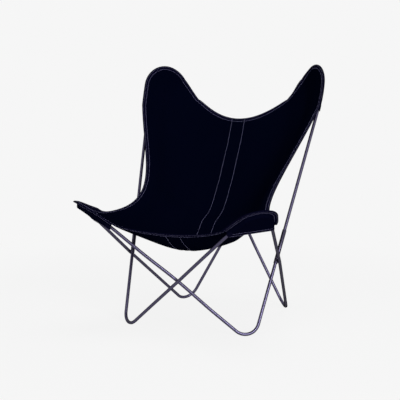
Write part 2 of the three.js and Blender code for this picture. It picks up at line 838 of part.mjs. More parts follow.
const middle = new THREE.Box3().setFromObject(chair, true).getCenter(vec(0, 0, 0));
chair.children.forEach((mesh) => {
  mesh.position.x -= middle.x;
  mesh.position.y -= middle.y;
});

export default chair;
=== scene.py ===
"""Dressed scene of a butterfly sling chair: rod rings, sleeves, welds and a sewn canvas sling."""

import logging
import math
from dataclasses import dataclass
from enum import Enum
from typing import Callable

import bpy
import numpy as np
from mathutils import Matrix, Vector
from mathutils.bvhtree import BVHTree


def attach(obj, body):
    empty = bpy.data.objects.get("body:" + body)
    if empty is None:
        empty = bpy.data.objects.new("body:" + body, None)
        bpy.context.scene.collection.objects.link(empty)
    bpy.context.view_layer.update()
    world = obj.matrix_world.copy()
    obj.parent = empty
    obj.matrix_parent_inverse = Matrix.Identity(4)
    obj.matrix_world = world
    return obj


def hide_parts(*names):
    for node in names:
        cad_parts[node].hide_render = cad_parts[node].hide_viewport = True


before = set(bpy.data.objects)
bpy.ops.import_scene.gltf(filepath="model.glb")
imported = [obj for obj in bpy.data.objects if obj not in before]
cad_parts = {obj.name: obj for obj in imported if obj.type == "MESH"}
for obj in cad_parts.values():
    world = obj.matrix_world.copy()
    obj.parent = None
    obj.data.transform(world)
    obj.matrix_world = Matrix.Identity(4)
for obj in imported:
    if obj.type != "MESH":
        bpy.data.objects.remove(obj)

LOG = logging.getLogger("butterfly_chair")
MM = 0.001
# Lengths are in millimetres. This moves them from the fitted camera's origin to the frame's.
SHIFT_Y = 59.22
SIDES = ((1, "right"), (-1, "left"))
ACROSS = np.array([1.0, 0.0, 0.0])
SHORTEST = 1e-9


def unit(vector: np.ndarray) -> np.ndarray:
    """Return a vector, or each row of an array, at length one."""
    return vector / np.maximum(np.linalg.norm(vector, axis=-1, keepdims=True), SHORTEST)


def to_metres(points: np.ndarray) -> np.ndarray:
    """Move points from the camera's millimetres to the shared frame in metres."""
    return (np.asarray(points) + np.array([0.0, SHIFT_Y, 0.0])) * MM


def sided(points: np.ndarray, side: int) -> np.ndarray:
    """Return the right half's points or vectors, on the right (1) or mirrored to the left (-1)."""
    return np.asarray(points) * np.array([float(side), 1.0, 1.0])


def mirror(points: np.ndarray) -> np.ndarray:
    """Mirror points or vectors from one half to the other."""
    return sided(points, -1)


def crossing(a: np.ndarray, b: np.ndarray, c: np.ndarray, d: np.ndarray) -> tuple:
    """Return where line a-b comes nearest to line c-d, and the normal common to both.

    Args:
        a, b: two points of the first line.
        c, d: two points of the second line.

    Returns:
        The place on the first line, and the unit normal.
    """
    along, other = unit(b - a), unit(d - c)
    dot = float(along @ other)
    reach = ((c - a) @ along - dot * ((c - a) @ other)) / (1 - dot * dot)
    return a + along * reach, unit(np.cross(along, other))


def between(a: np.ndarray, b: np.ndarray, start: float, end: float, time: float) -> np.ndarray:
    """Return the point at a time on the line that is at a at the start and at b at the end."""
    return ((end - time) * a + (time - start) * b) / (end - start)


# Frame geometry


@dataclass
class Corner:
    """One bent corner of a ring, in its own plane.

    The tip is where the straight arms would meet. b runs down the middle, s to the outer arm and
    n to the sitter. The lean bends the corner out of its plane.
    """

    tip: np.ndarray
    inner_end: np.ndarray
    outer_end: np.ndarray
    radius: float
    lean: float = 0.0
    lean_reach: float = 1.0

    def __post_init__(self) -> None:
        """Work out the corner's own directions and angles."""
        inner, outer = unit(self.inner_end - self.tip), unit(self.outer_end - self.tip)
        self.inner = inner
        self.half_angle = math.acos(float(inner @ outer)) / 2
        self.b = unit(inner + outer)
        self.s = unit(outer - inner)
        normal = np.cross(self.b, self.s)
        self.n = unit(normal if normal[2] > 0 else -normal)
        self.centre_depth = self.radius / math.sin(self.half_angle)
        self.arc_start = self.radius / math.tan(self.half_angle)
        self.arc_half = math.pi / 2 - self.half_angle

    def rise(self, depth: np.ndarray) -> np.ndarray:
        """Return how far the bent rod lies out of the plane at a depth below the tip."""
        left = 1 - (depth - self.centre_depth + self.radius) / self.lean_reach
        return self.lean * np.maximum(left, 0) ** 2

    def at(self, across: np.ndarray, depth: np.ndarray, height: np.ndarray) -> np.ndarray:
        """Return points at in-plane places and a height above the bent rods' surface.

        Args:
            across: places along s.
            depth: places along b, from the tip.
            height: heights along n.

        Returns:
            The points in millimetres, in the last axis.
        """
        across, depth, height = np.broadcast_arrays(
            *(np.asarray(value, float) for value in (across, depth, height)))
        lifted = height + self.rise(depth)
        return (self.tip + across[..., None] * self.s + depth[..., None] * self.b
                + lifted[..., None] * self.n)

    def height_of(self, points: np.ndarray) -> np.ndarray:
        """Return the height of points above the bent rods' surface."""
        away = points - self.tip
        return away @ self.n - self.rise(away @ self.b)

    def on_arm(self, side: float, distance: np.ndarray, offset: np.ndarray) -> tuple:
        """Return in-plane places along an arm, set off outwards from the rod's centre line."""
        sin, cos = math.sin(self.half_angle), math.cos(self.half_angle)
        return side * (sin * distance + cos * offset), cos * distance - sin * offset

    def on_nose(self, turn: np.ndarray, offset: np.ndarray) -> tuple:
        """Return in-plane places round the bend, set off outwards from the rod's centre line."""
        reach = self.radius + offset
        return np.sin(turn) * reach, self.centre_depth - np.cos(turn) * reach

    def bend(self, steps: int) -> np.ndarray:
        """Return the rod's centre line round this corner, from the inner arm to the outer arm.

        Args:
            steps: the steps round the bend.

        Returns:
            Points in millimetres, one per row.
        """
        across, depth = self.on_nose(self.arc_half * np.linspace(-1, 1, steps + 1), 0.0)
        points = self.at(across, depth, 0.0)
        if self.lean == 0:
            return points
        end = (self.centre_depth - self.radius + self.lean_reach) / math.cos(self.half_angle)
        along = np.linspace(self.arc_start, end, steps // 2 + 1)[1:]
        inner, outer = (self.at(*self.on_arm(side, along, 0.0), 0.0) for side in (-1, 1))
        return np.vstack([inner[::-1], points, outer])


@dataclass
class RingFrame:
    """Sizes of the two mirrored rod rings, in millimetres, and the lines that their rods follow."""

    rod_radius: float = 5.5
    sleeve_radius: float = 7.0
    sleeve_start: float = 285.0
    sleeve_length: float = 120.0
    fit_gap: float = 0.3
    foot_bend: float = 48.0
    front_bend: float = 46.0
    top_bend: float = 60.0
    # The feet's bends reach this far below the floor, where they are cut flat.
    foot_drop: float = 0.4
    # Where the straight arms would meet: the feet's places on the floor, and the upper points.
    front_foot: tuple = (236.0, -236.0)
    back_foot: tuple = (-202.0, 236.0)
    front_point: tuple = (-342.0, -419.0, 472.0)
    top_point: tuple = (365.0, 305.0, 990.0)
    # The upper bends lean out of their planes, most at their noses.
    top_lean: float = 22.0
    top_lean_reach: float = 155.0
    front_lean: float = -11.0
    front_lean_reach: float = 120.0
    # Where two arms cross, each is sprung aside over this length on both sides.
    spring_reach: float = 165.0
    settle_rounds: int = 20
    bend_steps: int = 24
    spring_steps: int = 12

    def __post_init__(self) -> None:
        """Set the feet on the floor and find the corners of the right ring."""
        self.front, self.top = np.array(self.front_point), np.array(self.top_point)
        feet = [0.0, 0.0]
        for _ in range(self.settle_rounds):
            self.foot = np.array([*self.front_foot, feet[0]])
            self.heel = np.array([*self.back_foot, feet[1]])
            self.knuckle = self._knuckle()
            self.corners = {
                "foot": Corner(self.foot, self.top, self.front, self.foot_bend),
                "front": Corner(self.front, self.foot, self.knuckle, self.front_bend,
                                self.front_lean, self.front_lean_reach),
                "heel": Corner(self.heel, self.knuckle, self.top, self.foot_bend),
                "top": Corner(self.top, self.heel, self.foot, self.top_bend,
                              self.top_lean, self.top_lean_reach),
            }
            for index, name in enumerate(("foot", "heel")):
                feet[index] += self._drop(self.corners[name]) - self.foot_drop
        self.leg = unit(self.top - self.foot)
        self.sleeve_middle = self.foot + self.leg * (self.sleeve_start + self.sleeve_length / 2)

    def _drop(self, corner: Corner) -> float:
        """Return how far a foot's bend reaches below the floor."""
        middle = corner.at(0.0, corner.centre_depth, 0.0)[2]
        return float(math.hypot(corner.b[2], corner.s[2]) * corner.radius + self.rod_radius - middle)

    def _knuckle(self) -> np.ndarray:
        """Return the point where the side arm passes outside the other ring's sleeve."""
        place, normal = crossing(mirror(self.foot), mirror(self.top), self.heel, self.front)
        return place - normal * np.sign(normal[0]) * (self.sleeve_radius + self.rod_radius + self.fit_gap)

    def _spring(self, a: np.ndarray, b: np.ndarray, sideways: float) -> np.ndarray:
        """Return an arm's points where it is sprung aside past the mirrored arm.

        Args:
            a, b: the tips that the arm runs between.
            sideways: 1 or -1, the side it passes on.

        Returns:
            Points in millimetres, one per row.
        """
        place, normal = crossing(a, b, mirror(a), mirror(b))
        push = normal * np.sign(normal[1]) * sideways
        share = np.linspace(-1, 1, 2 * self.spring_steps + 1)[:, None]
        height = (self.rod_radius + self.fit_gap / 2) * np.cos(np.pi / 2 * share) ** 2
        return place + unit(b - a) * share * self.spring_reach + push * height

    def rod_line(self, side: int) -> np.ndarray:
        """Return a ring's centre line in millimetres, from end to end inside its sleeve.

        Args:
            side: 1 for the right ring, -1 for the left ring.

        Returns:
            Points in millimetres, one per row.
        """
        foot, front, heel, top = (self.corners[name].bend(self.bend_steps) for name in self.corners)
        start, end = self.sleeve_middle - self.leg, self.sleeve_middle + self.leg
        parts = [start, foot, self._spring(self.foot, self.front, side), front, self.knuckle, heel,
                 self._spring(self.heel, self.top, -side), top, end]
        return sided(np.vstack(parts), side)


# Sling geometry


class Track:
    """A line of points that is read by its share of the whole length."""

    def __init__(self, points: np.ndarray) -> None:
        """Keep the points and their shares."""
        self.points = np.asarray(points, float)
        steps = np.linalg.norm(np.diff(self.points, axis=0), axis=1)
        places = np.concatenate([[0.0], np.cumsum(steps)])
        self.length = float(places[-1])
        self.shares = places / self.length

    def read(self, values: np.ndarray, share: np.ndarray) -> np.ndarray:
        """Return rows of values, one for each point, read at shares from 0 to 1."""
        return np.stack([np.interp(np.clip(share, 0, 1), self.shares, values[:, k]) for k in range(3)], -1)

    def at(self, share: np.ndarray) -> np.ndarray:
        """Return the points at shares from 0 to 1."""
        return self.read(self.points, share)


@dataclass(frozen=True)
class Lobe:
    """How a sling corner sits on a ring's corner: pocket depths, rim widths and mouth lift."""

    inner_depth: float
    outer_depth: float
    rim_inner: float
    rim_nose: float
    rim_outer: float
    mouth_lift: float

    def stations(self, corner: Corner, arm_count: int, nose_count: int) -> list:
        """Return stations round the pocket, from the inner mouth over the nose to the outer mouth.

        Args:
            corner: the ring's corner that the lobe sits on.
            arm_count: the steps along each arm.
            nose_count: the steps round the bend.

        Returns:
            For each station the arm (-1, 1) or 0 for the nose, the place along it, the rim's width
            and how far the pocket has opened, from 0 at the nose to 1 at the mouth.
        """
        start, nose = corner.arc_start, self.rim_nose
        shares = np.arange(arm_count) / arm_count
        inner = [(-1, self.inner_depth + (start - self.inner_depth) * share,
                  self.rim_inner + (nose - self.rim_inner) * share, 1 - share) for share in shares]
        bend = [(0, corner.arc_half * (2 * index / nose_count - 1), nose, 0.0)
                for index in range(nose_count + 1)]
        outer = [(1, start + (self.outer_depth - start) * share,
                  nose + (self.rim_outer - nose) * share, share) for share in (*shares[1:], 1.0)]
        return inner + bend + outer


def station_point(corner: Corner, station: tuple, offset: float, height: float) -> np.ndarray:
    """Return a station's point at an offset outwards from the rod and a height above it.

    Args:
        corner: the ring's corner.
        station: one of the lobe's stations.
        offset: the distance outwards from the rod's centre line.
        height: the height above the bent rods.

    Returns:
        The point in millimetres.
    """
    arm, where = station[:2]
    place = corner.on_arm(arm, where, offset) if arm else corner.on_nose(where, offset)
    return corner.at(*place, height)


@dataclass(frozen=True)
class RimPull:
    """A pocket's rim that is pulled off its rod beside the mouth, most at the mouth itself."""

    # The inner (-1) or outer (1) arm, how far the rim is pulled off the plane and back to the rod,
    # the length past the mouth over which that fades, and how steeply it grows towards the mouth.
    arm: int
    off: float
    back: float
    fade: float
    growth: float

    def moved(self, points: np.ndarray, corner: Corner, lobe: Lobe) -> np.ndarray:
        """Return points with those near the rim moved along with it.

        Args:
            points: points of the right half, in millimetres.
            corner: the corner of the ring that carries the pocket.
            lobe: the pocket's outline.

        Returns:
            The points, moved off the rods' plane and back towards the rod.
        """
        rim, depth = lobe.rim_inner, lobe.inner_depth
        if self.arm > 0:
            rim, depth = lobe.rim_outer, lobe.outer_depth
        sin, cos = math.sin(corner.half_angle), math.cos(corner.half_angle)
        outward = self.arm * cos * corner.s - sin * corner.b
        offset = points - corner.tip
        outwards = np.clip(offset @ outward / rim, 0, 1)
        along = offset @ (self.arm * sin * corner.s + cos * corner.b)
        grown = np.clip(along / depth, 0, 1) ** self.growth
        kept = np.clip(1 - (along - depth) / self.fade, 0, 1)
        share = outwards ** 2 * grown * kept * kept * (3 - 2 * kept)
        return points + share[..., None] * (corner.n * self.off - outward * self.back)


class EdgePart(Enum):
    """The stretches of the right half's edge, from the front centre round to the back centre."""

    FRONT = "front"
    FRONT_POCKET = "front_pocket"
    SIDE = "side"
    BACK_POCKET = "back_pocket"
    BACK = "back"


@dataclass
class SlingShape:
    """The sling's right half as a patch between four edges, in millimetres."""

    ring: RingFrame
    cloth: float = 1.5
    front_lobe: Lobe = Lobe(inner_depth=182.0, outer_depth=170.0, rim_inner=28.0, rim_nose=26.0,
                            rim_outer=24.0, mouth_lift=2.0)
    back_lobe: Lobe = Lobe(inner_depth=202.0, outer_depth=295.0, rim_inner=28.0, rim_nose=28.0,
                           rim_outer=27.0, mouth_lift=2.0)
    # The middles of the front and back edges, and the line between them down the seat and back.
    front_edge_yz: tuple = (-355.0, 340.0)
    back_edge_yz: tuple = (257.0, 691.0)
    centre_profile: tuple = (
        (-355, 340), (-310, 303), (-260, 274), (-213.5, 264), (-165, 262.5), (-137, 266), (-110, 279),
        (-77, 303), (-60, 321), (-47, 334), (-26, 345.5), (12, 356), (36, 372), (62, 396), (82, 418),
        (99, 440), (128, 476), (163, 530), (185, 562), (205, 592), (222, 620), (236, 649), (257, 691),
    )
    # How far the free edges' curves leave their ends, and the bulge beside each top pocket.
    front_pulls: tuple = (103.0, 12.0)
    back_pull: float = 94.0
    ear: tuple = (177.0, 291.0, 761.0)
    ear_pull: tuple = (-14.0, 7.0, -2.0)
    side_front_pull: tuple = (-168.0, 222.0, -10.0)
    side_back_pull: tuple = (-68.0, -132.0, -211.0)
    # The edge between the top points pulls both back pockets' inner rims up. On the left the side
    # edge does so with the front pocket's outer rim. The photo shows both.
    back_pull_off: RimPull = RimPull(arm=-1, off=11.9, back=5.1, fade=72.0, growth=3.0)
    left_pull_off: RimPull = RimPull(arm=1, off=23.0, back=0.0, fade=50.0, growth=1.8)
    right_pull_off: RimPull = RimPull(arm=1, off=-1.0, back=6.5, fade=45.0, growth=14.0)
    # The cloth is pushed off the rods softly, by shares of the blend's width.
    lift_blend: float = 6.0
    lift_sharpness: float = 4.0
    lift_limit: float = 8.0
    lift_end: float = 6.0
    # Across the seat the middle line counts for more than the side edge, and near the front a soft
    # shoulder rises halfway between them.
    hollow_power: float = 1.4
    shoulder_rise: float = 17.0
    shoulder_reach: float = 0.3
    track_steps: int = 96
    ear_steps: int = 20
    spline_steps: int = 12
    grid_columns: int = 96
    grid_rows: int = 260
    smooth_rounds: int = 40
    width_rounds: int = 30
    widest_share: float = 0.5
    least_width: float = 0.01

    def __post_init__(self) -> None:
        """Build the four edges and the patch between them."""
        ring = self.ring
        self.sheet_height = ring.rod_radius + ring.fit_gap + self.cloth / 2
        # The front corner on the right belongs to the left ring.
        self.front_corner = Corner(mirror(ring.front), mirror(ring.foot), mirror(ring.knuckle),
                                   ring.front_bend, ring.front_lean, ring.front_lean_reach)
        self.back_corner = ring.corners["top"]
        front_rim = self._rim(self.front_corner, self.front_lobe)
        back_rim = self._rim(self.back_corner, self.back_lobe)
        middle = (len(front_rim) - 1) // 2
        front_centre = np.array([0.0, *self.front_edge_yz])
        back_centre = np.array([0.0, *self.back_edge_yz])
        front_free = self._curve(
            front_centre, front_centre + ACROSS * self.front_pulls[0],
            front_rim[0] + self.front_corner.inner * self.front_pulls[1], front_rim[0])
        ear = np.array(self.ear)
        back_free = self._curve(back_centre, back_centre + ACROSS * self.back_pull,
                                 ear + np.array(self.ear_pull), ear)
        back_free = np.vstack([back_free, np.linspace(ear, back_rim[0], self.ear_steps)[1:]])
        side_free = self._curve(
            front_rim[-1], front_rim[-1] + np.array(self.side_front_pull),
            back_rim[-1] + np.array(self.side_back_pull), back_rim[-1])
        self.front_edge = Track(np.vstack([front_free, front_rim[1:middle + 1]]))
        self.back_edge = Track(np.vstack([back_free, back_rim[1:middle + 1]]))
        self.side_edge = Track(np.vstack([front_rim[middle:], side_free[1:], back_rim[middle:-1][::-1]]))
        self.centre = Track(self._centre_line())
        self.edge_parts = {
            EdgePart.FRONT: front_free, EdgePart.FRONT_POCKET: front_rim,
            EdgePart.SIDE: side_free, EdgePart.BACK_POCKET: back_rim[::-1],
            EdgePart.BACK: back_free[::-1],
        }
        self._relax()

    def _rim(self, corner: Corner, lobe: Lobe) -> np.ndarray:
        """Return the sewn rim of a pocket."""
        return np.array([
            station_point(corner, station, station[2], self.sheet_height + lobe.mouth_lift * station[3] ** 2)
            for station in lobe.stations(corner, self.track_steps, self.track_steps)])

    def _curve(self, a: np.ndarray, b: np.ndarray, c: np.ndarray, d: np.ndarray) -> np.ndarray:
        """Return the points of a curve that leaves a towards b and reaches d from c."""
        t = np.linspace(0, 1, self.track_steps + 1)[:, None]
        return (1 - t) ** 3 * a + 3 * t * (1 - t) ** 2 * b + 3 * t * t * (1 - t) * c + t ** 3 * d

    def _centre_line(self) -> np.ndarray:
        """Return a smooth line through the centre profile, by centripetal splines.

        Returns:
            Points in millimetres, one per row.
        """
        points = np.array([(0.0, y, z) for y, z in self.centre_profile])
        knots = np.vstack([2 * points[0] - points[1], points, 2 * points[-1] - points[-2]])
        line = []
        for index in range(1, len(knots) - 2):
            near = knots[index - 1:index + 3]
            times = [0.0]
            for a, b in zip(near, near[1:]):
                times.append(times[-1] + np.linalg.norm(b - a) ** 0.5)
            for time in np.linspace(times[1], times[2], self.spline_steps, endpoint=False):
                mixed = [between(near[k], near[k + 1], times[k], times[k + 1], time) for k in range(3)]
                mixed = [between(mixed[k], mixed[k + 1], times[k], times[k + 2], time) for k in range(2)]
                line.append(between(*mixed, times[1], times[2], time))
        return np.array([*line, points[-1]])

    def _blend(self, u: np.ndarray, v: np.ndarray, mix: np.ndarray) -> np.ndarray:
        """Return the patch that meets the four edges.

        Args:
            u: shares from the centre line to the side edge.
            v: shares from the front edge to the back edge.
            mix: how much of the side edge each place takes up.

        Returns:
            The points in millimetres, in the last axis.
        """
        v1, m1 = v[..., None], mix[..., None]
        total = (1 - v1) * self.front_edge.at(u) + v1 * self.back_edge.at(u)
        total = total + (1 - m1) * self.centre.at(v) + m1 * self.side_edge.at(v)
        total = total - (1 - m1) * ((1 - v1) * self.front_edge.at(0.0) + v1 * self.back_edge.at(0.0))
        return total - m1 * ((1 - v1) * self.front_edge.at(1.0) + v1 * self.back_edge.at(1.0))

    def _lift(self, points: np.ndarray, corner: Corner) -> np.ndarray:
        """Keep the cloth on the sitter's side of a corner's rods.

        Args:
            points: points of the patch, in millimetres.
            corner: the corner to clear.

        Returns:
            The points, lifted softly where they came too low.
        """
        spare = (corner.height_of(points) - self.sheet_height) / self.lift_blend
        held = np.clip(spare, -self.lift_limit, self.lift_limit)
        push = self.lift_blend * np.log1p(np.exp(-self.lift_sharpness * held)) / self.lift_sharpness
        return points + np.where(spare < self.lift_end, push, 0)[..., None] * corner.n

    def _relax(self) -> None:
        """Lay the patch out as a grid and let it relax between its edges, as taut canvas does."""
        u, v = np.meshgrid(np.linspace(0, 1, self.grid_columns + 1), np.linspace(0, 1, self.grid_rows + 1))
        grid = self._blend(u, v, u ** self.hollow_power)
        grid[..., 0] = self._blend(u, v, u)[..., 0]
        reach = np.minimum(v / self.shoulder_reach, 1)
        grid[..., 2] += self.shoulder_rise * (np.sin(np.pi * u) * np.sin(np.pi * reach)) ** 2
        for _ in range(self.smooth_rounds):
            around = grid[:-2, 1:-1] + grid[2:, 1:-1] + grid[1:-1, :-2] + grid[1:-1, 2:]
            grid[1:-1, 1:-1] = around / 4
        self.grid = self._lift(self._lift(grid, self.front_corner), self.back_corner)

    def on_side(self, points: np.ndarray, side: int) -> np.ndarray:
        """Return the right half's points, or the same points of the left half.

        Args:
            points: points of the right half, in millimetres.
            side: 1 for the right, -1 for the left.

        Returns:
            The points on that side, with the rims pulled off their rods beside the mouths.
        """
        points = self.back_pull_off.moved(points, self.back_corner, self.back_lobe)
        pull = self.right_pull_off if side > 0 else self.left_pull_off
        return sided(pull.moved(points, self.front_corner, self.front_lobe), side)

    def at(self, u: np.ndarray, v: np.ndarray) -> np.ndarray:
        """Return points of the right half.

        Args:
            u: share from the centre line (0) to the side edge (1).
            v: share from the front edge (0) to the back edge (1).

        Returns:
            Points in millimetres, in the last axis.
        """
        u, v = np.broadcast_arrays(np.asarray(u, float), np.asarray(v, float))
        x, y = np.clip(u, 0, 1) * self.grid_columns, np.clip(v, 0, 1) * self.grid_rows
        i = np.minimum(x.astype(int), self.grid_columns - 1)
        j = np.minimum(y.astype(int), self.grid_rows - 1)
        s, t = (x - i)[..., None], (y - j)[..., None]
        near = self.grid[j, i] * (1 - s) + self.grid[j, i + 1] * s
        far = self.grid[j + 1, i] * (1 - s) + self.grid[j + 1, i + 1] * s
        return near * (1 - t) + far * t

    def share_at_width(self, width: np.ndarray, v: np.ndarray) -> np.ndarray:
        """Return the share u at which the cloth is a given distance from the middle.

        Args:
            width: distances in millimetres.
            v: shares from the front edge to the back edge.

        Returns:
            The share at each place.
        """
        width, v = np.broadcast_arrays(np.asarray(width, float), np.asarray(v, float))
        low, high = np.zeros_like(v), np.full_like(v, self.widest_share)
        for _ in range(self.width_rounds):
            middle = (low + high) / 2
            inside = np.abs(self.at(middle, v)[..., 0]) < width
            low, high = np.where(inside, middle, low), np.where(inside, high, middle)
        return np.where(width < self.least_width, 0.0, low)


@dataclass
class EdgeFrames:
    """Points of the right half's edge with the directions into the cloth and off its face."""

    shape: SlingShape
    spacing: float = 4.0
    fewest_steps: int = 4
    smooth_rounds: int = 8
    # The sitter's side of the cloth faces this way, more or less.
    sitter: tuple = (0.0, -0.6, 0.8)
    # The edge goes round this point. The cloth's face is read a little way towards it.
    heart: tuple = (0.0, -40.0, 420.0)
    reading_inset: float = 10.0

    def __post_init__(self) -> None:
        """Resample the edge and work out its directions."""
        parts, kinds = [], []
        for kind, points in self.shape.edge_parts.items():
            track = Track(points)
            count = max(int(track.length / self.spacing), self.fewest_steps)
            shares = np.linspace(0, 1, count + 1)
            shares = shares[1:] if parts else shares
            parts.append(track.at(shares))
            kinds += [kind.value] * len(shares)
        self.points = np.vstack(parts)
        self.kinds = np.array(kinds)
        self.tree = patch_tree(self.shape)
        tangent = self._smoothed(unit(np.gradient(self.points, axis=0)))
        towards = np.array(self.heart) - self.points
        towards = unit(towards - (towards * tangent).sum(-1, keepdims=True) * tangent)
        inside = self.points + towards * self.reading_inset
        normals = np.array([self.tree.find_nearest(Vector(point))[1] for point in inside])
        facing = np.sign(normals @ np.array(self.sitter))[:, None]
        normals = self._smoothed(normals * np.where(facing == 0, 1, facing))
        normals[[0, -1]] *= 1 - ACROSS
        self.normals = unit(normals - (normals * tangent).sum(-1, keepdims=True) * tangent)
        self.inward = unit(np.cross(self.normals, tangent))
        self.inward[[0, -1]] *= 1 - ACROSS

    def _smoothed(self, vectors: np.ndarray) -> np.ndarray:
        """Even out directions along the edge, with the ends kept.

        Args:
            vectors: one direction per row.

        Returns:
            The evened directions, at length one.
        """
        for _ in range(self.smooth_rounds):
            vectors[1:-1] = (vectors[:-2] + 2 * vectors[1:-1] + vectors[2:]) / 4
        return unit(vectors)

    def stretch(self, part: EdgePart) -> np.ndarray:
        """Return the indices of one part of the edge, with the next sample at each end."""
        index = np.nonzero(self.kinds == part.value)[0]
        return np.arange(max(index[0] - 1, 0), min(index[-1] + 1, len(self.points) - 1) + 1)


def patch_tree(shape: SlingShape) -> BVHTree:
    """Return a search tree of the right half's patch, in millimetres.

    Args:
        shape: the sling's shape.

    Returns:
        The search tree.
    """
    rows, columns = shape.grid.shape[:2]
    faces = []
    for row in range(rows - 1):
        for column in range(columns - 1):
            a = row * columns + column
            faces.append((a, a + 1, a + columns + 1, a + columns))
    return BVHTree.FromPolygons([Vector(point) for point in shape.grid.reshape(-1, 3)], faces)


def onto_patch(tree: BVHTree, points: np.ndarray, normals: np.ndarray, reach: float = 14.0) -> np.ndarray:
    """Drop points along their normals onto the right half's patch.

    Args:
        tree: the search tree of the patch.
        points: points near the cloth, in millimetres.
        normals: the directions off the cloth's face.
        reach: how far from a point the cloth is looked for.

    Returns:
        The points on the cloth. A point with no cloth near stays where it was.
    """
    result = np.array(points, float)
    for index, (point, normal) in enumerate(zip(points, normals)):
        hit = tree.ray_cast(Vector(point + normal * reach), Vector(-normal), 2 * reach)[0]
        if hit is not None:
            result[index] = hit
    return result


# Modelling helpers


def deselect_all() -> None:
    """Clear the selection, because an operator acts on all that is selected."""
    if bpy.context.object and bpy.context.object.mode != "OBJECT":
        bpy.ops.object.mode_set(mode="OBJECT")
    bpy.ops.object.select_all(action="DESELECT")


def take_new(name: str) -> bpy.types.Object:
    """Name the object that an operator has just added.

    Args:
        name: the name for the object and its data.

    Returns:
        The object.
    """
    obj = bpy.context.object
    obj.name = name
    obj.data.name = name
    return obj


def select_only(obj: bpy.types.Object) -> None:
    """Select one object and make it the active one."""
    deselect_all()
    obj.select_set(True)
    bpy.context.view_layer.objects.active = obj


def apply_modifier(obj: bpy.types.Object, kind: str, **settings: object) -> None:
    """Add a modifier with its settings and apply it.

    Args:
        obj: the object.
        kind: the modifier's type.
        settings: the modifier's attributes and their values.
    """
    select_only(obj)
    modifier = obj.modifiers.new(kind.lower(), kind)
    for key, value in settings.items():
        setattr(modifier, key, value)
    bpy.ops.object.modifier_apply(modifier=modifier.name)


def smooth(obj: bpy.types.Object, angle_degrees: float) -> None:
    """Shade an object smooth, with its sharp edges kept."""
    select_only(obj)
    bpy.ops.object.shade_smooth_by_angle(angle=math.radians(angle_degrees))


def on_all_faces(obj: bpy.types.Object, operator: Callable, **settings: object) -> None:
    """Run a mesh operator on all of an object's faces.

    Args:
        obj: the object.
        operator: the operator from bpy.ops.mesh.
        settings: the operator's settings.
    """
    select_only(obj)
    bpy.ops.object.mode_set(mode="EDIT")
    bpy.ops.mesh.select_all(action="SELECT")
    operator(**settings)
    bpy.ops.object.mode_set(mode="OBJECT")


def turn_outwards(obj: bpy.types.Object) -> None:
    """Turn an object's faces outwards."""
    on_all_faces(obj, bpy.ops.mesh.normals_make_consistent, inside=False)


def thicken(obj: bpy.types.Object, thickness: float, angle: float, outwards: bool = False) -> float:
    """Give a one-layer cloth its thickness and its shading.

    Args:
        obj: the cloth, one layer thick.
        thickness: the cloth's thickness, in millimetres.
        angle: the angle in degrees from which an edge stays sharp.
        outwards: whether the faces are turned outwards.

    Returns:
        The area of the one layer, in square metres.
    """
    area = sum(face.area for face in obj.data.polygons)
    apply_modifier(obj, "SOLIDIFY", thickness=thickness * MM, offset=0.0)
    if outwards:
        turn_outwards(obj)
    smooth(obj, angle)
    return area


def grid_piece(name: str, cells: tuple, place: Callable, size_mm: tuple) -> bpy.types.Object:
    """Add a grid and lay it on a surface.

    Args:
        name: the piece's name.
        cells: the grid's cells across and along.
        place: a function from arrays of across and along shares to points in millimetres.
        size_mm: the cloth's width and length, which scale its UV map to metres.

    Returns:
        The new object, one layer thick.
    """
    deselect_all()
    bpy.ops.mesh.primitive_grid_add(x_subdivisions=cells[0], y_subdivisions=cells[1], size=1.0)
    obj = take_new(name)
    mesh = obj.data
    flat = np.empty(len(mesh.vertices) * 3)
    mesh.vertices.foreach_get("co", flat)
    shares = flat.reshape(-1, 3) + 0.5
    mesh.vertices.foreach_set("co", to_metres(place(shares[:, 0], shares[:, 1])).ravel())
    uv_layer = mesh.uv_layers[0].data
    uvs = np.empty(len(uv_layer) * 2)
    uv_layer.foreach_get("uv", uvs)
    uv_layer.foreach_set("uv", (uvs.reshape(-1, 2) * np.array(size_mm) * MM).ravel())
    mesh.update()
    return obj


def strip_piece(name: str, points: np.ndarray) -> bpy.types.Object:
    """Add a grid whose rows follow given points, such as a hem along an edge.

    Args:
        name: the piece's name.
        points: an array of rows by columns by 3, in millimetres.

    Returns:
        The new object, one layer thick.
    """
    rows, columns = points.shape[:2]
    width = np.linalg.norm(np.diff(points, axis=1), axis=2).sum(1).mean()
    length = np.linalg.norm(np.diff(points, axis=0), axis=2).sum(0).mean()

    def place(across: np.ndarray, along: np.ndarray) -> np.ndarray:
        """Read the nearest given point."""
        return points[np.rint(along * (rows - 1)).astype(int), np.rint(across * (columns - 1)).astype(int)]

    return grid_piece(name, (columns - 1, rows - 1), place, (width, length))


def tube_piece(name: str, points: np.ndarray, radius: float, sides: int) -> bpy.types.Object:
    """Add a round rod along a line in millimetres, as a bevelled curve turned into a mesh.

    Args:
        name: the piece's name.
        points: the rod's centre line, one point per row.
        radius: the rod's radius, in millimetres.
        sides: the rod's faces all round.

    Returns:
        The new mesh object.
    """
    deselect_all()
    bpy.ops.curve.primitive_bezier_curve_add()
    obj = take_new(name)
    curve = obj.data
    curve.splines.clear()
    spline = curve.splines.new("POLY")
    spline.points.add(len(points) - 1)
    spline.points.foreach_set("co", np.column_stack([to_metres(points), np.ones(len(points))]).ravel())
    curve.bevel_depth = radius * MM
    curve.bevel_resolution = sides // 4
    curve.use_fill_caps = True
    curve.dimensions = "3D"
    select_only(obj)
    bpy.ops.object.convert(target="MESH")
    return bpy.context.object


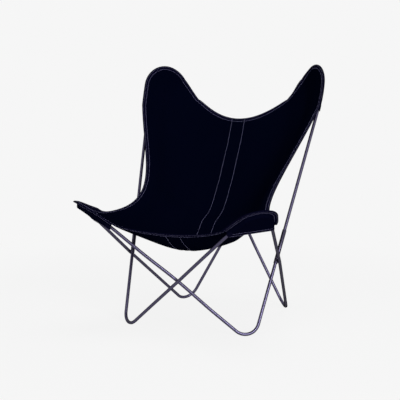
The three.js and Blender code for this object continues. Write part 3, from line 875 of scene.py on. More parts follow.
def bed_transform(obj: bpy.types.Object, centre: np.ndarray, axis: np.ndarray) -> None:
    """Turn an object's Z to an axis, move it to a place in millimetres, and apply both.

    Args:
        obj: the object, built at the origin.
        centre: its place, in millimetres.
        axis: the direction that its Z takes.
    """
    turn = Vector((0, 0, 1)).rotation_difference(Vector(axis)).to_matrix().to_4x4()
    obj.matrix_world = Matrix.Translation(Vector(to_metres(centre))) @ turn
    select_only(obj)
    bpy.ops.object.transform_apply(location=True, rotation=True, scale=True)


def finish_piece(obj: bpy.types.Object, material: bpy.types.Material, slot: str, *nodes: str) -> None:
    """Give a piece its finish, its body and the CAD nodes that it stands for.

    Args:
        obj: the piece.
        material: its only material.
        slot: the record's material slot; not used.
        nodes: the CAD nodes, or none for a piece beyond the CAD.
    """
    obj.data.materials.clear()
    obj.data.materials.append(material)
    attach(obj, "root")
    if nodes:
        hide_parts(*nodes)
    LOG.info("%s: %d faces", obj.name, len(obj.data.polygons))


# Finishes


def linear(hex_colour: str) -> tuple:
    """Turn an sRGB hex colour into linear numbers, with an alpha of one."""
    channels = [int(hex_colour[i:i + 2], 16) / 255 for i in (1, 3, 5)]
    return (*(c / 12.92 if c <= 0.04045 else ((c + 0.055) / 1.055) ** 2.4 for c in channels), 1.0)


def add_node(tree: bpy.types.NodeTree, kind: str, settings: dict | None = None,
             links: dict | None = None) -> bpy.types.Node:
    """Add a node.

    Args:
        tree: the material's or world's node tree.
        kind: the node's type.
        settings: attributes, and sockets by name or number, with their values.
        links: sockets by name or number, with the output each is linked from.

    Returns:
        The new node.
    """
    node = tree.nodes.new(kind)
    for key, value in (settings or {}).items():
        if isinstance(key, str) and hasattr(node, key) and key not in node.inputs:
            setattr(node, key, value)
        else:
            node.inputs[key].default_value = value
    for key, output in (links or {}).items():
        tree.links.new(output, node.inputs[key])
    return node


def blank_material(name: str) -> tuple:
    """Return a new material and its empty node tree.

    Args:
        name: the material's name.

    Returns:
        The material and the tree.
    """
    material = bpy.data.materials.new(name)
    material.use_nodes = True
    material.node_tree.nodes.clear()
    return material, material.node_tree


@dataclass(frozen=True)
class CanvasFinish:
    """Woven cotton canvas, piece-dyed: matt, in faint clouds of two shades, with a plain weave."""

    name: str
    colour: str = "#01030e"
    worn_colour: str = "#020310"
    roughness: float = 0.95
    # A 12 oz canvas has a thread about every 0.7 mm. It is drawn at 1.6 mm so that it shows.
    thread_pitch_mm: float = 1.6
    weave_depth_mm: float = 0.12
    weave_strength: float = 0.6
    cloud_mm: float = 90.0
    cloud_detail: float = 5.0
    cloud_roughness: float = 0.6

    def build(self) -> bpy.types.Material:
        """Return the material."""
        material, tree = blank_material(self.name)
        uv = add_node(tree, "ShaderNodeUVMap").outputs["UV"]
        place = add_node(tree, "ShaderNodeTexCoord").outputs["Object"]
        # A wave texture repeats every 1/scale * (2 pi / 20) of a metre.
        bands = {"wave_type": "BANDS", "Scale": 2 * math.pi / 20 / (self.thread_pitch_mm * MM)}
        warp, weft = (
            add_node(tree, "ShaderNodeTexWave", {**bands, "bands_direction": way}, {"Vector": uv})
            for way in ("X", "Y"))
        weave = add_node(tree, "ShaderNodeMath", {"operation": "MULTIPLY"},
                         {0: warp.outputs["Fac"], 1: weft.outputs["Fac"]})
        cloud = add_node(tree, "ShaderNodeTexNoise",
                         {"Scale": 1 / (self.cloud_mm * MM), "Detail": self.cloud_detail,
                          "Roughness": self.cloud_roughness}, {"Vector": place})
        colour = add_node(tree, "ShaderNodeMix",
                          {"data_type": "RGBA", 6: linear(self.colour), 7: linear(self.worn_colour)},
                          {0: cloud.outputs["Fac"]})
        bump = add_node(tree, "ShaderNodeBump",
                        {"Strength": self.weave_strength, "Distance": self.weave_depth_mm * MM},
                        {"Height": weave.outputs[0]})
        shader = add_node(tree, "ShaderNodeBsdfPrincipled",
                          {"Roughness": self.roughness, "Specular IOR Level": 0.0},
                          {"Base Color": colour.outputs[2], "Normal": bump.outputs["Normal"]})
        add_node(tree, "ShaderNodeOutputMaterial", links={"Surface": shader.outputs["BSDF"]})
        return material


@dataclass(frozen=True)
class BlackNickelPaintedShadeFinish:
    """Black nickel plating on drawn steel rod: a smoky satin mirror, with painted shade that darkens it and
    takes away its gloss towards the edges that turn from the eye.
    """

    name: str
    colour: str = "#4a465c"
    painted_edge_shade_colour: str = "#0c0a14"
    metallic: float = 0.85
    roughness: float = 0.28
    # How far a face turns from the eye before the painted shade starts to darken it, and where that painted
    # shade is darkest.
    painted_shade_from: float = 0.26
    painted_shade_at: float = 0.8
    # Handling polishes and dulls the plating in patches about 70 mm long.
    patch_mm: float = 70.0
    patch_detail: float = 4.0
    polished: float = -0.06
    dulled: float = 0.08

    def build(self) -> bpy.types.Material:
        """Return the material."""
        material, tree = blank_material(self.name)
        place = add_node(tree, "ShaderNodeTexCoord").outputs["Object"]
        wear = add_node(tree, "ShaderNodeTexNoise",
                        {"Scale": 1 / (self.patch_mm * MM), "Detail": self.patch_detail}, {"Vector": place})
        rough = add_node(tree, "ShaderNodeMapRange",
                         {"To Min": self.roughness + self.polished, "To Max": self.roughness + self.dulled},
                         {"Value": wear.outputs["Fac"]})
        # Painted shade: as a face turns from the eye, its colour goes to the dark edge colour and its metal
        # fades out.
        facing = {"Value": add_node(tree, "ShaderNodeLayerWeight", {"Blend": 0.5}).outputs["Facing"]}
        limits = {"From Min": self.painted_shade_from, "From Max": self.painted_shade_at}
        metallic = add_node(tree, "ShaderNodeMapRange", {**limits, "To Min": self.metallic, "To Max": 0.0},
                            facing)
        painted_edge_shade = add_node(tree, "ShaderNodeMapRange", {**limits, "To Min": 0.0, "To Max": 1.0}, facing)
        colour = add_node(tree, "ShaderNodeMix",
                          {"data_type": "RGBA", 6: linear(self.colour), 7: linear(self.painted_edge_shade_colour)},
                          {0: painted_edge_shade.outputs["Result"]})
        shader = add_node(tree, "ShaderNodeBsdfPrincipled", {"Specular IOR Level": 0.0},
                          {"Base Color": colour.outputs[2], "Metallic": metallic.outputs["Result"],
                           "Roughness": rough.outputs["Result"]})
        add_node(tree, "ShaderNodeOutputMaterial", links={"Surface": shader.outputs["BSDF"]})
        return material


@dataclass(frozen=True)
class ThreadFinish:
    """Waxed polyester sewing thread: a little lighter and shinier than the canvas."""

    name: str
    colour: str = "#57557a"
    roughness: float = 0.6
    sheen: float = 0.1

    def build(self) -> bpy.types.Material:
        """Return the material."""
        material, tree = blank_material(self.name)
        shader = add_node(tree, "ShaderNodeBsdfPrincipled",
                          {"Base Color": linear(self.colour), "Roughness": self.roughness,
                           "Sheen Weight": self.sheen})
        add_node(tree, "ShaderNodeOutputMaterial", links={"Surface": shader.outputs["BSDF"]})
        return material


def seen_rays(tree: bpy.types.NodeTree) -> bpy.types.NodeSocket:
    """Return an output that is 1 for the rays that show the background: camera, gloss and glass.

    Args:
        tree: the material's or world's node tree.

    Returns:
        The output socket.
    """
    rays = add_node(tree, "ShaderNodeLightPath").outputs
    total = rays["Is Camera Ray"]
    for name in ("Is Glossy Ray", "Is Transmission Ray"):
        largest = add_node(tree, "ShaderNodeMath", {"operation": "MAXIMUM"}, {0: total, 1: rays[name]})
        total = largest.outputs[0]
    return total


@dataclass(frozen=True)
class StudioPaper:
    """Pale studio paper under and behind the chair: the camera sees it nearly even."""

    name: str = "studio_paper"
    seen_colour: str = "#f6f6f6"
    paper_colour: str = "#f2f2f2"
    shadow_share: float = 0.06
    fade_start: float = 0.7
    fade_end: float = 1.9

    def build(self) -> bpy.types.Material:
        """Return the material."""
        material, tree = blank_material(self.name)
        paper = add_node(tree, "ShaderNodeBsdfDiffuse", {"Color": linear(self.paper_colour)})
        glow = add_node(tree, "ShaderNodeEmission", {"Color": linear(self.seen_colour), "Strength": 1.0})
        place = add_node(tree, "ShaderNodeTexCoord").outputs["Object"]
        away = add_node(tree, "ShaderNodeVectorMath", {"operation": "LENGTH"}, {0: place})
        fade = add_node(tree, "ShaderNodeMapRange",
                        {"interpolation_type": "SMOOTHSTEP", "From Min": self.fade_start,
                         "From Max": self.fade_end, "To Min": 1 - self.shadow_share, "To Max": 1.0},
                        {"Value": away.outputs["Value"]})
        share = add_node(tree, "ShaderNodeMath", {"operation": "MULTIPLY"},
                         {0: seen_rays(tree), 1: fade.outputs["Result"]})
        mixed = add_node(tree, "ShaderNodeMixShader",
                         links={0: share.outputs[0], 1: paper.outputs[0], 2: glow.outputs[0]})
        add_node(tree, "ShaderNodeOutputMaterial", links={"Surface": mixed.outputs[0]})
        return material


# Sub-assemblies


@dataclass
class RodRings:
    """The two rod rings, their joint sleeves and the weld beads at the crossings."""

    ring: RingFrame
    rod_sides: int = 24
    rod_shading: float = 40.0
    sleeve_sides: int = 48
    sleeve_chamfer: float = 0.8
    chamfer_segments: int = 3
    chamfer_angle: float = 60.0
    sleeve_lip: float = 1.4
    # Inside its lip the sleeve's end steps down round the rod.
    bore_step: float = 0.2
    bore_depth: float = 2.0
    end_facing: float = 0.9
    bead_segments: int = 24
    bead_rings: int = 40
    bead_shading: float = 60.0
    bead_radius: float = 3.2
    bead_length: float = 11.0
    bead_ripple: float = 0.07
    bead_waves: float = 4.0
    # All three platings carry the painted edge shade.
    rod_plating: BlackNickelPaintedShadeFinish = BlackNickelPaintedShadeFinish("black_nickel_rod_painted_shade")
    sleeve_plating: BlackNickelPaintedShadeFinish = BlackNickelPaintedShadeFinish("black_nickel_sleeve_painted_shade", colour="#3c3949")
    bead_plating: BlackNickelPaintedShadeFinish = BlackNickelPaintedShadeFinish("black_nickel_weld_painted_shade", colour="#3c3949", roughness=0.4)

    def build(self) -> None:
        """Build every steel piece."""
        rod_metal, sleeve_metal = self.rod_plating.build(), self.sleeve_plating.build()
        bead_metal = self.bead_plating.build()
        for side, word in SIDES:
            finish_piece(self._rod(side, f"rod_ring_{word}"), rod_metal, "frame_rod", f"ring_rod_{word}")
            finish_piece(self._sleeve(side, f"rod_sleeve_{word}"), sleeve_metal, "sleeve_tube",
                         f"joint_sleeve_{word}")
        for name, (centre, axis) in self._bead_places().items():
            finish_piece(self._bead(f"fillet_{name}", centre, axis), bead_metal, "weld_bead", f"weld_{name}")

    def _rod(self, side: int, name: str) -> bpy.types.Object:
        """Return one ring's bent rod, with its feet cut flat at the floor.

        Args:
            side: 1 for the right ring, -1 for the left ring.
            name: the piece's name.

        Returns:
            The rod.
        """
        rod = tube_piece(name, self.ring.rod_line(side), self.ring.rod_radius, self.rod_sides)
        on_all_faces(rod, bpy.ops.mesh.bisect, plane_co=(0, 0, 0), plane_no=(0, 0, 1), clear_inner=True,
                     use_fill=True)
        smooth(rod, self.rod_shading)
        return rod

    def _sleeve(self, side: int, name: str) -> bpy.types.Object:
        """Return a short tube with eased ends, whose bore is drawn as a recess round the rod.

        Args:
            side: 1 for the right ring, -1 for the left ring.
            name: the piece's name.

        Returns:
            The sleeve.
        """
        ring = self.ring
        deselect_all()
        bpy.ops.mesh.primitive_cylinder_add(vertices=self.sleeve_sides, radius=ring.sleeve_radius * MM,
                                            depth=ring.sleeve_length * MM)
        sleeve = take_new(name)
        bpy.ops.object.mode_set(mode="EDIT")
        bpy.ops.mesh.select_mode(type="FACE")
        bpy.ops.mesh.select_all(action="DESELECT")
        bpy.ops.object.mode_set(mode="OBJECT")
        for face in sleeve.data.polygons:
            face.select = abs(face.normal.z) > self.end_facing
        bpy.ops.object.mode_set(mode="EDIT")
        bpy.ops.mesh.inset(thickness=self.sleeve_lip * MM, depth=0)
        bpy.ops.mesh.inset(thickness=self.bore_step * MM, depth=-self.bore_depth * MM)
        bpy.ops.object.mode_set(mode="OBJECT")
        apply_modifier(sleeve, "BEVEL", width=self.sleeve_chamfer * MM, segments=self.chamfer_segments,
                       limit_method="ANGLE", angle_limit=math.radians(self.chamfer_angle))
        bed_transform(sleeve, sided(ring.sleeve_middle, side), sided(ring.leg, side))
        smooth(sleeve, self.rod_shading)
        return sleeve

    def _bead_places(self) -> dict:
        """Return each crossing's bead place and axis, in millimetres.

        Returns:
            The place and the axis by the crossing's name.
        """
        ring = self.ring
        places = {}
        for name, a, b in (("front", ring.foot, ring.front), ("back", ring.heel, ring.top)):
            place = crossing(a, b, mirror(a), mirror(b))[0]
            places[name] = self._notch(place, unit(b - a), unit(mirror(b) - mirror(a)), 1)
        leg_foot, leg_top = mirror(ring.foot), mirror(ring.top)
        place = crossing(leg_foot, leg_top, ring.heel, ring.front)[0]
        contact = place + unit(ring.knuckle - place) * (ring.sleeve_radius + ring.fit_gap / 2)
        left = self._notch(contact, unit(leg_top - leg_foot), unit(ring.front - ring.heel), -1)
        places["left"] = left
        places["right"] = (mirror(left[0]), mirror(left[1]))
        return places

    def _notch(self, contact: np.ndarray, along: np.ndarray, other: np.ndarray, sign: int) -> tuple:
        """Return the place and the axis of the bead in one notch of a crossing.

        Args:
            contact: where the two rods meet.
            along: the first rod's direction.
            other: the second rod's direction.
            sign: 1 or -1, the notch's side.

        Returns:
            The place in millimetres, and the axis.
        """
        axis = unit(along * sign + other)
        sine = math.sqrt(1 - float(axis @ other) ** 2)
        return contact + axis * self.ring.rod_radius / sine, axis

    def _bead(self, name: str, centre: np.ndarray, axis: np.ndarray) -> bpy.types.Object:
        """Return a crossing's weld bead, rippled as a row of welding puddles is.

        Args:
            name: the piece's name.
            centre: its middle, in millimetres.
            axis: the direction that it runs in.

        Returns:
            The bead.
        """
        deselect_all()
        bpy.ops.mesh.primitive_uv_sphere_add(segments=self.bead_segments, ring_count=self.bead_rings,
                                             radius=self.bead_radius * MM)
        bead = take_new(name)
        for vertex in bead.data.vertices:
            height = vertex.co.z / (self.bead_radius * MM)
            swell = 1 + self.bead_ripple * math.cos(height * self.bead_waves * math.pi)
            vertex.co.x *= swell
            vertex.co.y *= swell
            vertex.co.z *= self.bead_length / (2 * self.bead_radius)
        bed_transform(bead, centre, axis)
        smooth(bead, self.bead_shading)
        return bead


@dataclass
class SewnSling:
    """The canvas sling: two panels, a centre band, four pockets, hems and stitching."""

    shape: SlingShape
    cloth_shading: float = 60.0
    fold_shading: float = 70.0
    # Each panel starts under the band, this far from the middle.
    panel_start: float = 19.0
    panel_cells: tuple = (72, 220)
    panel_size: tuple = (430.0, 1000.0)
    panel_flat: tuple = (0.44, 1.02)
    # The panel's rows lie closer together towards the front and the back edge.
    panel_easing: float = 0.45
    band_half_width: float = 27.0
    band_cells: tuple = (26, 240)
    band_length: float = 858.0
    band_flat_length: float = 0.88
    band_lift: float = 1.5
    # The band's sides come down onto the panels over this width.
    band_slope: float = 1.5
    band_step: float = 1e-3
    # Stitches across the band's ends stand this far off it.
    stitch_rise: float = 0.3
    # The fold's section: inset from the edge and height over the panel's middle, from top to bottom.
    hem_profile: tuple = (
        (14.5, 0.85), (13.9, 1.15), (12.0, 1.35), (8.0, 1.6), (4.0, 1.6), (1.6, 1.4), (0.2, 0.95),
        (-0.5, 0.45), (-0.7, 0.0), (-0.5, -0.45), (0.2, -0.95), (1.6, -1.4), (4.0, -1.6), (8.0, -1.6),
        (12.0, -1.35), (13.9, -1.15), (14.5, -0.85),
    )
    # Round a pocket the fold also takes in the pocket's cloth, below the panel.
    rim_extra: float = 2.2
    rim_turn: float = 0.5
    stitch_pitch: float = 5.2
    stitch_length: float = 4.0
    # The thread is 0.7 mm thick. It is drawn at 1.1 mm so that it shows at the photograph's distance.
    stitch_radius: float = 0.55
    faint_radius: float = 0.32
    # A stitch is a spindle that is full between these shares of its half length, and a little flat.
    stitch_shoulder: float = 0.6
    stitch_flatness: float = 0.8
    hem_rows: tuple = (3.6, 12.4)
    seam_inset: float = 2.2
    seam_ends: tuple = (0.004, 0.996)
    seam_samples: int = 300
    fold_thickness: float = 0.5
    # A folded strip is cut this much larger than it lies.
    cut_allowance: float = 1.01
    least_width: float = 10.5
    # The pocket's section, from its rim to the middle between the arms.
    pocket_stations: tuple = (20, 36)
    pocket_inset: float = 0.5
    seam_width: float = 14.0
    straight_shares: tuple = (0.0, 0.2, 0.4, 0.6, 0.8)
    wrap_gap: float = 1.2
    wrap_steps: int = 5
    flat_shares: tuple = (0.33, 0.66, 1.0)
    pocket_allowance: float = 0.05
    most_of_cut: float = 0.99
    merge_reach: float = 1e-5
    # The hem along a pocket's mouth takes up some of the pocket's rows, and leaves out their ends.
    mouth_rows: int = 5
    mouth_skip: int = 5
    mouth_stitch_skip: int = 6
    mouth_overhang: float = 1.4
    mouth_stitch_rows: tuple = (0.4, 4.0)
    mouth_stitch_lift: float = 0.6
    mouth_drop: float = 1.3
    canvas: CanvasFinish = CanvasFinish("navy_canvas")
    # The hems, rims and mouths take a lighter copy of the canvas: painted highlight on the folded edges.
    hem_canvas_painted_highlight: CanvasFinish = CanvasFinish("navy_canvas_hem_painted_highlight", colour="#060717", worn_colour="#080719")
    # The pockets take a slightly lighter, bluer copy of the canvas: painted light on their shaded undersides.
    pocket_canvas_painted_light: CanvasFinish = CanvasFinish("navy_canvas_pocket_painted_light", colour="#020412", worn_colour="#040413")
    thread: ThreadFinish = ThreadFinish("sewing_thread")

    def build(self) -> None:
        """Build every sewn piece, with the canvas first and the stitches last."""
        self.edge = EdgeFrames(self.shape)
        self.mouth_lines: list = []
        cloth, hem_cloth_painted_highlight = self.canvas.build(), self.hem_canvas_painted_highlight.build()
        pocket_cloth_painted_light = self.pocket_canvas_painted_light.build()
        thread = self.thread.build()
        for side, word in SIDES:
            self._panel(side, word, cloth)
        self._band(cloth)
        self._hems(hem_cloth_painted_highlight)
        self._pockets(pocket_cloth_painted_light, hem_cloth_painted_highlight)
        self._stitches(thread)

    def _panel(self, side: int, word: str, cloth: bpy.types.Material) -> None:
        """Build the left or right panel.

        Args:
            side: 1 for the right panel, -1 for the left panel.
            word: the side's name.
            cloth: the canvas.
        """

        def place(across: np.ndarray, along: np.ndarray) -> np.ndarray:
            """Lay the panel from beside the middle out to its edge."""
            eased = along - self.panel_easing * np.sin(2 * np.pi * along) / (2 * np.pi)
            first = self.shape.share_at_width(self.panel_start, eased)
            outwards = across if side > 0 else 1 - across
            return self.shape.on_side(self.shape.at(first + (1 - first) * outwards, eased), side)

        panel = grid_piece(f"panel_{word}", self.panel_cells, place, self.panel_size)
        area = thicken(panel, self.shape.cloth, self.cloth_shading)
        finish_piece(panel, cloth, "canvas_top", f"seat_panel_{word}")

    def _band(self, cloth: bpy.types.Material) -> None:
        """Build the band that covers the join of the panels, turned under along both sides.

        Args:
            cloth: the canvas.
        """
        half = self.band_half_width

        def place(across: np.ndarray, along: np.ndarray) -> np.ndarray:
            """Lay the band over the middle, with its sides down on the panels."""
            offset = (2 * across - 1) * half
            share = self.shape.share_at_width(np.abs(offset), along)
            ahead = self.shape.at(share, np.minimum(along + self.band_step, 1))
            behind = self.shape.at(share, np.maximum(along - self.band_step, 0))
            normal = unit(np.cross(ACROSS, unit(ahead - behind)))
            edge = np.clip((half - np.abs(offset)) / self.band_slope, 0, 1)
            lift = self.band_lift * (1 - (1 - edge) ** 2)
            points = self.shape.at(share, along) + normal * lift[..., None]
            points[..., 0] = np.where(offset < 0, -points[..., 0], points[..., 0])
            return points

        band = grid_piece("band_centre", self.band_cells, place, (2 * half, self.band_length))
        area = thicken(band, self.shape.cloth, self.cloth_shading)
        finish_piece(band, cloth, "canvas_top", "centre_band")

    def _edge_rows(self, part: EdgePart, profile: tuple) -> np.ndarray:
        """Return rows of points that wrap a part of the right half's edge.

        Args:
            part: the part of the edge.
            profile: the fold's section, as insets and heights in millimetres.

        Returns:
            An array of samples along the edge by places round the section by 3.
        """
        index = self.edge.stretch(part)
        points, inward, normals = self.edge.points[index], self.edge.inward[index], self.edge.normals[index]
        columns = []
        for inset, height in profile:
            base = points + inward * max(inset, 0.0)
            if inset > 0:
                base = onto_patch(self.edge.tree, base, normals)
            columns.append(base + inward * min(inset, 0.0) + normals * height)
        return np.stack(columns, axis=1)

    def _hems(self, cloth: bpy.types.Material) -> None:
        """Build the turned hems along the four free edges.

        Args:
            cloth: the hems' canvas, a lighter copy that carries a painted highlight.
        """
        on_side = self.shape.on_side
        side, front, back = (self._edge_rows(part, self.hem_profile)
                             for part in (EdgePart.SIDE, EdgePart.FRONT, EdgePart.BACK))
        for name, rows in (("right", on_side(side, 1)), ("left", on_side(side, -1)),
                           ("front", np.vstack([mirror(front[::-1][:-1]), front])),
                           ("back", np.vstack([on_side(back[:-1], -1), on_side(back, 1)[::-1]]))):
            self._folded(f"hem_fold_{name}", rows, cloth, (f"hem_{name}",))

    def _folded(self, name: str, rows: np.ndarray, cloth: bpy.types.Material, nodes: tuple) -> None:
        """Args:
            name: the piece's name.
            rows: the strip's points, rows by columns by 3, in millimetres.
            cloth: the strip's material.
            nodes: the CAD nodes that it stands for.
        """
        strip = strip_piece(name, rows)
        area = thicken(strip, self.fold_thickness, self.fold_shading, outwards=True)
        finish_piece(strip, cloth, "canvas_under", *nodes)
        middle = rows[:, rows.shape[1] // 2] if rows.shape[0] > rows.shape[1] else rows[rows.shape[0] // 2]
        length = float(np.linalg.norm(np.diff(middle, axis=0), axis=1).sum()) * MM

    def _pockets(self, cloth: bpy.types.Material, hem_cloth_painted_highlight: bpy.types.Material) -> None:
        """Build the four corner pockets with their folded rims and mouths.

        Args:
            cloth: the pockets' canvas, a slightly lighter copy that carries painted light.
            hem_cloth_painted_highlight: the canvas of their rims and mouths.
        """
        shape = self.shape
        # Round a pocket the fold's lower half is deeper.
        profile = tuple((inset, height - self.rim_extra * min(max(self.rim_turn - height, 0.0), 1.0))
                        for inset, height in self.hem_profile)
        for part, corner, lobe, word in (
                (EdgePart.FRONT_POCKET, shape.front_corner, shape.front_lobe, "front"),
                (EdgePart.BACK_POCKET, shape.back_corner, shape.back_lobe, "back")):
            rows = self._pocket_grid(corner, lobe)
            rim = self._edge_rows(part, profile)
            size = self._pocket_flat(rows)
            for side, hand, across in ((1, "right", "left"), (-1, "left", "right")):
                cloth_rows = shape.on_side(rows, side)
                # A front point belongs to the ring whose back point is on the other side.
                pocket = strip_piece(f"pocket_{word}_{hand}_cloth", cloth_rows)
                apply_modifier(pocket, "WELD", merge_threshold=self.merge_reach)
                turn_outwards(pocket)
                area = thicken(pocket, shape.cloth, self.cloth_shading)
                finish_piece(pocket, cloth, "canvas_under", f"pocket_{word}_{hand}")
                # The rims and mouths take the lighter hem canvas, a painted highlight.
                self._folded(f"rim_{word}_{hand}", shape.on_side(rim, side), hem_cloth_painted_highlight, ())
                self._mouth(f"mouth_{word}_{hand}", cloth_rows, sided(corner.n, side), hem_cloth_painted_highlight)

    def _mouth(self, name: str, rows: np.ndarray, face: np.ndarray, cloth: bpy.types.Material) -> None:
        """Build the hem along a pocket's mouth, and note its rows of stitches.

        Args:
            name: the hem's name.
            rows: the pocket's points, from its inner mouth round to its outer mouth.
            face: the direction off the pocket's plane to the sitter.
            cloth: the hem's material.
        """
        skip = self.mouth_skip
        lines = np.array([np.vstack([rows[k][skip:], rows[-1 - k][skip:][::-1][1:]])
                          for k in range(self.mouth_rows)])
        turned = lines[0] + (lines[0] - lines[1]) * self.mouth_overhang
        lines = np.concatenate([turned[None], lines])
        self._folded(name, lines - face * self.mouth_drop, cloth, ())
        for place in self.mouth_stitch_rows:
            first = int(place)
            line = lines[first] + (lines[first + 1] - lines[first]) * (place - first)
            line = line[self.mouth_stitch_skip:-self.mouth_stitch_skip]
            line = line - face * (self.mouth_drop + self.mouth_stitch_lift)
            self.mouth_lines.append((line, np.tile(-face, (len(line), 1))))

    def _pocket_flat(self, rows: np.ndarray) -> tuple:
        """Return the width and length of the rectangle that a pocket is cut from, in metres.

        Args:
            rows: the pocket's points, in millimetres.

        Returns:
            The width and the length.
        """
        rim = rows[:, 0]
        spans = (rim[0] - rim[-1], rim[len(rim) // 2] - rows[0, -1])
        return tuple(round(float(np.linalg.norm(span)) * MM + self.pocket_allowance, 3) for span in spans)

    def _pocket_grid(self, corner: Corner, lobe: Lobe) -> np.ndarray:
        """Return a pocket's points: rows round the rim, and in each row from the rim to the middle.

        Args:
            corner: the ring's corner.
            lobe: the pocket's outline.

        Returns:
            An array of stations by places from the rim to the middle by 3.
        """
        shape = self.shape
        wrap = shape.ring.rod_radius + self.wrap_gap + shape.cloth / 2
        flap = shape.sheet_height - shape.cloth - shape.ring.fit_gap
        mean_depth = (lobe.inner_depth + lobe.outer_depth) / 2
        rows = []
        for station in lobe.stations(corner, *self.pocket_stations):
            rim, opened = station[2:]
            seam = (rim - self.seam_width, flap + lobe.mouth_lift * opened ** 2)
            # From the seam the cloth runs straight to where it touches the rod's underside.
            slope = math.atan2(seam[1], seam[0]) - math.acos(wrap / math.hypot(*seam))
            touch = (math.cos(slope) * wrap, math.sin(slope) * wrap)
            profile = [(rim - self.pocket_inset, seam[1]), (rim - self.seam_width / 2, seam[1])]
            profile += [(seam[0] + (touch[0] - seam[0]) * k, seam[1] + (touch[1] - seam[1]) * k)
                        for k in self.straight_shares]
            profile += [(math.cos(turn) * wrap, math.sin(turn) * wrap)
                        for turn in np.linspace(slope, -math.pi / 2, self.wrap_steps)]
            row = [station_point(corner, station, offset, height) for offset, height in profile]
            along = corner.arc_start + (mean_depth - corner.arc_start) * opened
            spine = corner.at(0.0, math.cos(corner.half_angle) * along, -wrap)
            rows.append(row + [row[-1] + (spine - row[-1]) * k for k in self.flat_shares])
        return np.array(rows)

    def _stitches(self, thread: bpy.types.Material) -> None:
        """Build every row of stitches as four pieces of thread.

        Args:
            thread: the thread's finish.
        """
        shape, edge = self.shape, self.edge
        hem, faint, seam = [], [], []
        in_rim = np.isin(edge.kinds, [EdgePart.FRONT_POCKET.value, EdgePart.BACK_POCKET.value])
        band_top = self.band_lift + shape.cloth / 2
        over_band = (np.abs(edge.points[:, 0]) < self.band_half_width) * (band_top + self.stitch_rise)
        for inset, rows in zip(self.hem_rows, (faint, hem)):
            base = onto_patch(edge.tree, edge.points + edge.inward * inset, edge.normals)
            height = self._hem_height(inset)
            for sign, heights in ((1, np.maximum(height, over_band)), (-1, height + self.rim_extra * in_rim)):
                line = base + edge.normals * (sign * heights)[:, None]
                rows += [(shape.on_side(line, side), sided(edge.normals, side) * sign) for side, _ in SIDES]
        along = np.linspace(*self.seam_ends, self.seam_samples)
        points = shape.at(shape.share_at_width(self.band_half_width - self.seam_inset, along), along)
        normal = unit(np.cross(ACROSS, unit(np.gradient(points, axis=0))))
        for height in (band_top, -shape.cloth / 2):
            line = points + normal * height
            seam += [(sided(line, side), sided(normal, side) * np.sign(height)) for side, _ in SIDES]
        for name, rows, radius in (
                ("thread_hem", hem, self.stitch_radius), ("thread_edge", faint, self.faint_radius),
                ("thread_seam", seam, self.stitch_radius),
                ("thread_mouth", self.mouth_lines, self.stitch_radius)):
            finish_piece(self._thread(name, rows, radius), thread, "canvas_under")

    def _hem_height(self, inset: float) -> float:
        """Return the height of the hem's face at an inset from the edge."""
        insets, heights = zip(*sorted((x, y) for x, y in self.hem_profile if y > 0))
        return float(np.interp(inset, insets, heights)) + self.fold_thickness / 2

    def _thread(self, name: str, rows: list, radius: float) -> bpy.types.Object:
        """Return stitches along lines: one small four-sided spindle, copied along every row.

        Args:
            name: the piece's name.
            rows: pairs of a line's points and the directions off the cloth at each of them.
            radius: half of the thread's width, in millimetres.

        Returns:
            One object that holds all stitches.
        """
        # The spindle's points, across and off the cloth in radii and along the row in half lengths.
        spindle = np.array([(0, 0, -1)] + [
            (math.cos(a), math.sin(a), z) for z in (-self.stitch_shoulder, self.stitch_shoulder)
            for a in np.arange(4) * math.pi / 2] + [(0, 0, 1)])
        turns = [(k, (k + 1) % 4) for k in range(4)]
        faces = [(0, 1 + b, 1 + a) for a, b in turns]
        faces += [(1 + a, 1 + b, 5 + b, 5 + a) for a, b in turns]
        faces += [(9, 5 + a, 5 + b) for a, b in turns]
        scale = spindle * (radius, radius * self.stitch_flatness, self.stitch_length / 2)
        points, polygons = [], []
        for line, normals in rows:
            track = Track(line)
            count = int(track.length / self.stitch_pitch)
            shares = (np.arange(count) + 0.5) / count
            centre = track.at(shares)
            along = unit(track.at(shares + 0.5 * self.stitch_length / track.length) - centre)
            lift = track.read(normals, shares)
            lift = unit(lift - (lift * along).sum(-1, keepdims=True) * along)
            axes = np.stack([np.cross(along, lift), lift, along], axis=1)
            polygons += [tuple(len(spindle) * (len(points) + i) + corner for corner in face)
                         for i in range(count) for face in faces]
            points.extend(centre[:, None] + scale @ axes)
        deselect_all()
        bpy.ops.mesh.primitive_ico_sphere_add(subdivisions=1, radius=MM)
        piece = take_new(name)
        piece.data.clear_geometry()
        piece.data.from_pydata(to_metres(np.vstack(points)).tolist(), [], polygons)
        piece.data.update()
        turn_outwards(piece)
        return piece


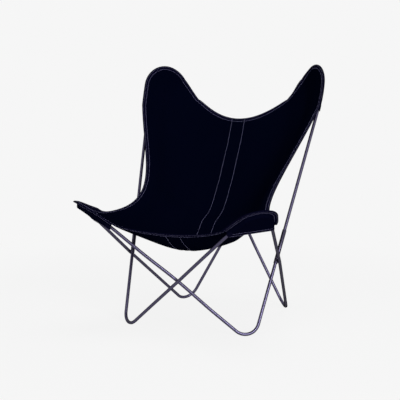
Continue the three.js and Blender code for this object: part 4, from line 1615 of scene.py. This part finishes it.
@dataclass
class Studio:
    """Floor, lamps, world and the camera at the photograph's place."""

    # The camera's angles in degrees, its distance and target in millimetres, and its lens in pixels.
    azimuth: float = 22.745
    elevation: float = 6.441
    roll: float = -0.1
    distance: float = 3347.3
    target: tuple = (0.0, -89.468, 433.715)
    photo_side: int = 400
    focal_px: float = 971.685
    centre_px: tuple = (203.12, 196.694)
    sensor_mm: float = 36.0
    floor_half: float = 9.0
    paper: StudioPaper = StudioPaper()
    # Each soft lamp's place, width and power. All point at the chair's middle.
    lamps: tuple = (
        ("lamp_key", (4.2, -3.4, 2.2), 1.8, 230.0),
        ("lamp_front", (-1.6, -4.6, 1.6), 1.2, 80.0),
        ("lamp_over", (0.6, 0.2, 4.4), 2.4, 90.0),
    )
    lamp_target: tuple = (0.0, 0.0, 0.45)
    world_colour: str = "#ffffff"
    world_strength: float = 0.14

    def build(self) -> None:
        """Build the studio."""
        self._floor()
        self._lamps()
        self._world()
        self._camera()
        bpy.context.scene.view_settings.view_transform = "Standard"

    def _floor(self) -> None:
        """Build the flat paper floor, which reaches far behind the chair."""
        deselect_all()
        bpy.ops.mesh.primitive_plane_add(size=2 * self.floor_half, location=(0, 0, 0))
        floor = take_new("studio_floor")
        floor.data.materials.append(self.paper.build())

    def _lamps(self) -> None:
        """Build the large soft lamps."""
        for name, place, size, power in self.lamps:
            deselect_all()
            bpy.ops.object.light_add(type="AREA", location=place)
            lamp = take_new(name)
            lamp.data.size = size
            lamp.data.energy = power
            aim = Vector(self.lamp_target) - Vector(place)
            lamp.rotation_euler = aim.to_track_quat("-Z", "Y").to_euler()

    def _world(self) -> None:
        """Build an even pale world that the camera and the gloss see as the paper."""
        world = bpy.data.worlds.new("studio_world")
        bpy.context.scene.world = world
        world.use_nodes = True
        tree = world.node_tree
        tree.nodes.clear()
        dim = add_node(tree, "ShaderNodeBackground",
                       {"Color": linear(self.world_colour), "Strength": self.world_strength})
        seen = add_node(tree, "ShaderNodeBackground",
                        {"Color": linear(self.paper.seen_colour), "Strength": 1.0})
        mixed = add_node(tree, "ShaderNodeMixShader",
                         links={0: seen_rays(tree), 1: dim.outputs[0], 2: seen.outputs[0]})
        add_node(tree, "ShaderNodeOutputWorld", links={"Surface": mixed.outputs[0]})

    def _camera(self) -> None:
        """Build the camera that the photograph's rods and outlines were fitted to."""
        a, e, r = (math.radians(angle) for angle in (self.azimuth, self.elevation, self.roll))
        back = np.array([math.sin(a) * math.cos(e), -math.cos(a) * math.cos(e), math.sin(e)])
        right = np.array([math.cos(a), math.sin(a), 0.0])
        up = np.cross(back, right)
        turned_right = right * math.cos(r) + up * math.sin(r)
        turned_up = -right * math.sin(r) + up * math.cos(r)
        deselect_all()
        bpy.ops.object.camera_add()
        camera = take_new("photo_camera")
        rotation = Matrix([turned_right, turned_up, back]).transposed().to_4x4()
        place = to_metres(np.array(self.target) + back * self.distance)
        camera.matrix_world = Matrix.Translation(Vector(place)) @ rotation
        side = self.photo_side
        camera.data.sensor_width = self.sensor_mm
        camera.data.lens = self.focal_px / side * self.sensor_mm
        camera.data.shift_x = (side / 2 - self.centre_px[0]) / side
        camera.data.shift_y = (self.centre_px[1] - side / 2) / side
        bpy.context.scene.camera = camera


def main() -> None:
    """Build the chair and the studio."""
    logging.basicConfig(level=logging.INFO)
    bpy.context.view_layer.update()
    ring = RingFrame()
    RodRings(ring).build()
    SewnSling(SlingShape(ring)).build()
    Studio().build()


if __name__ == "__main__":
    main()
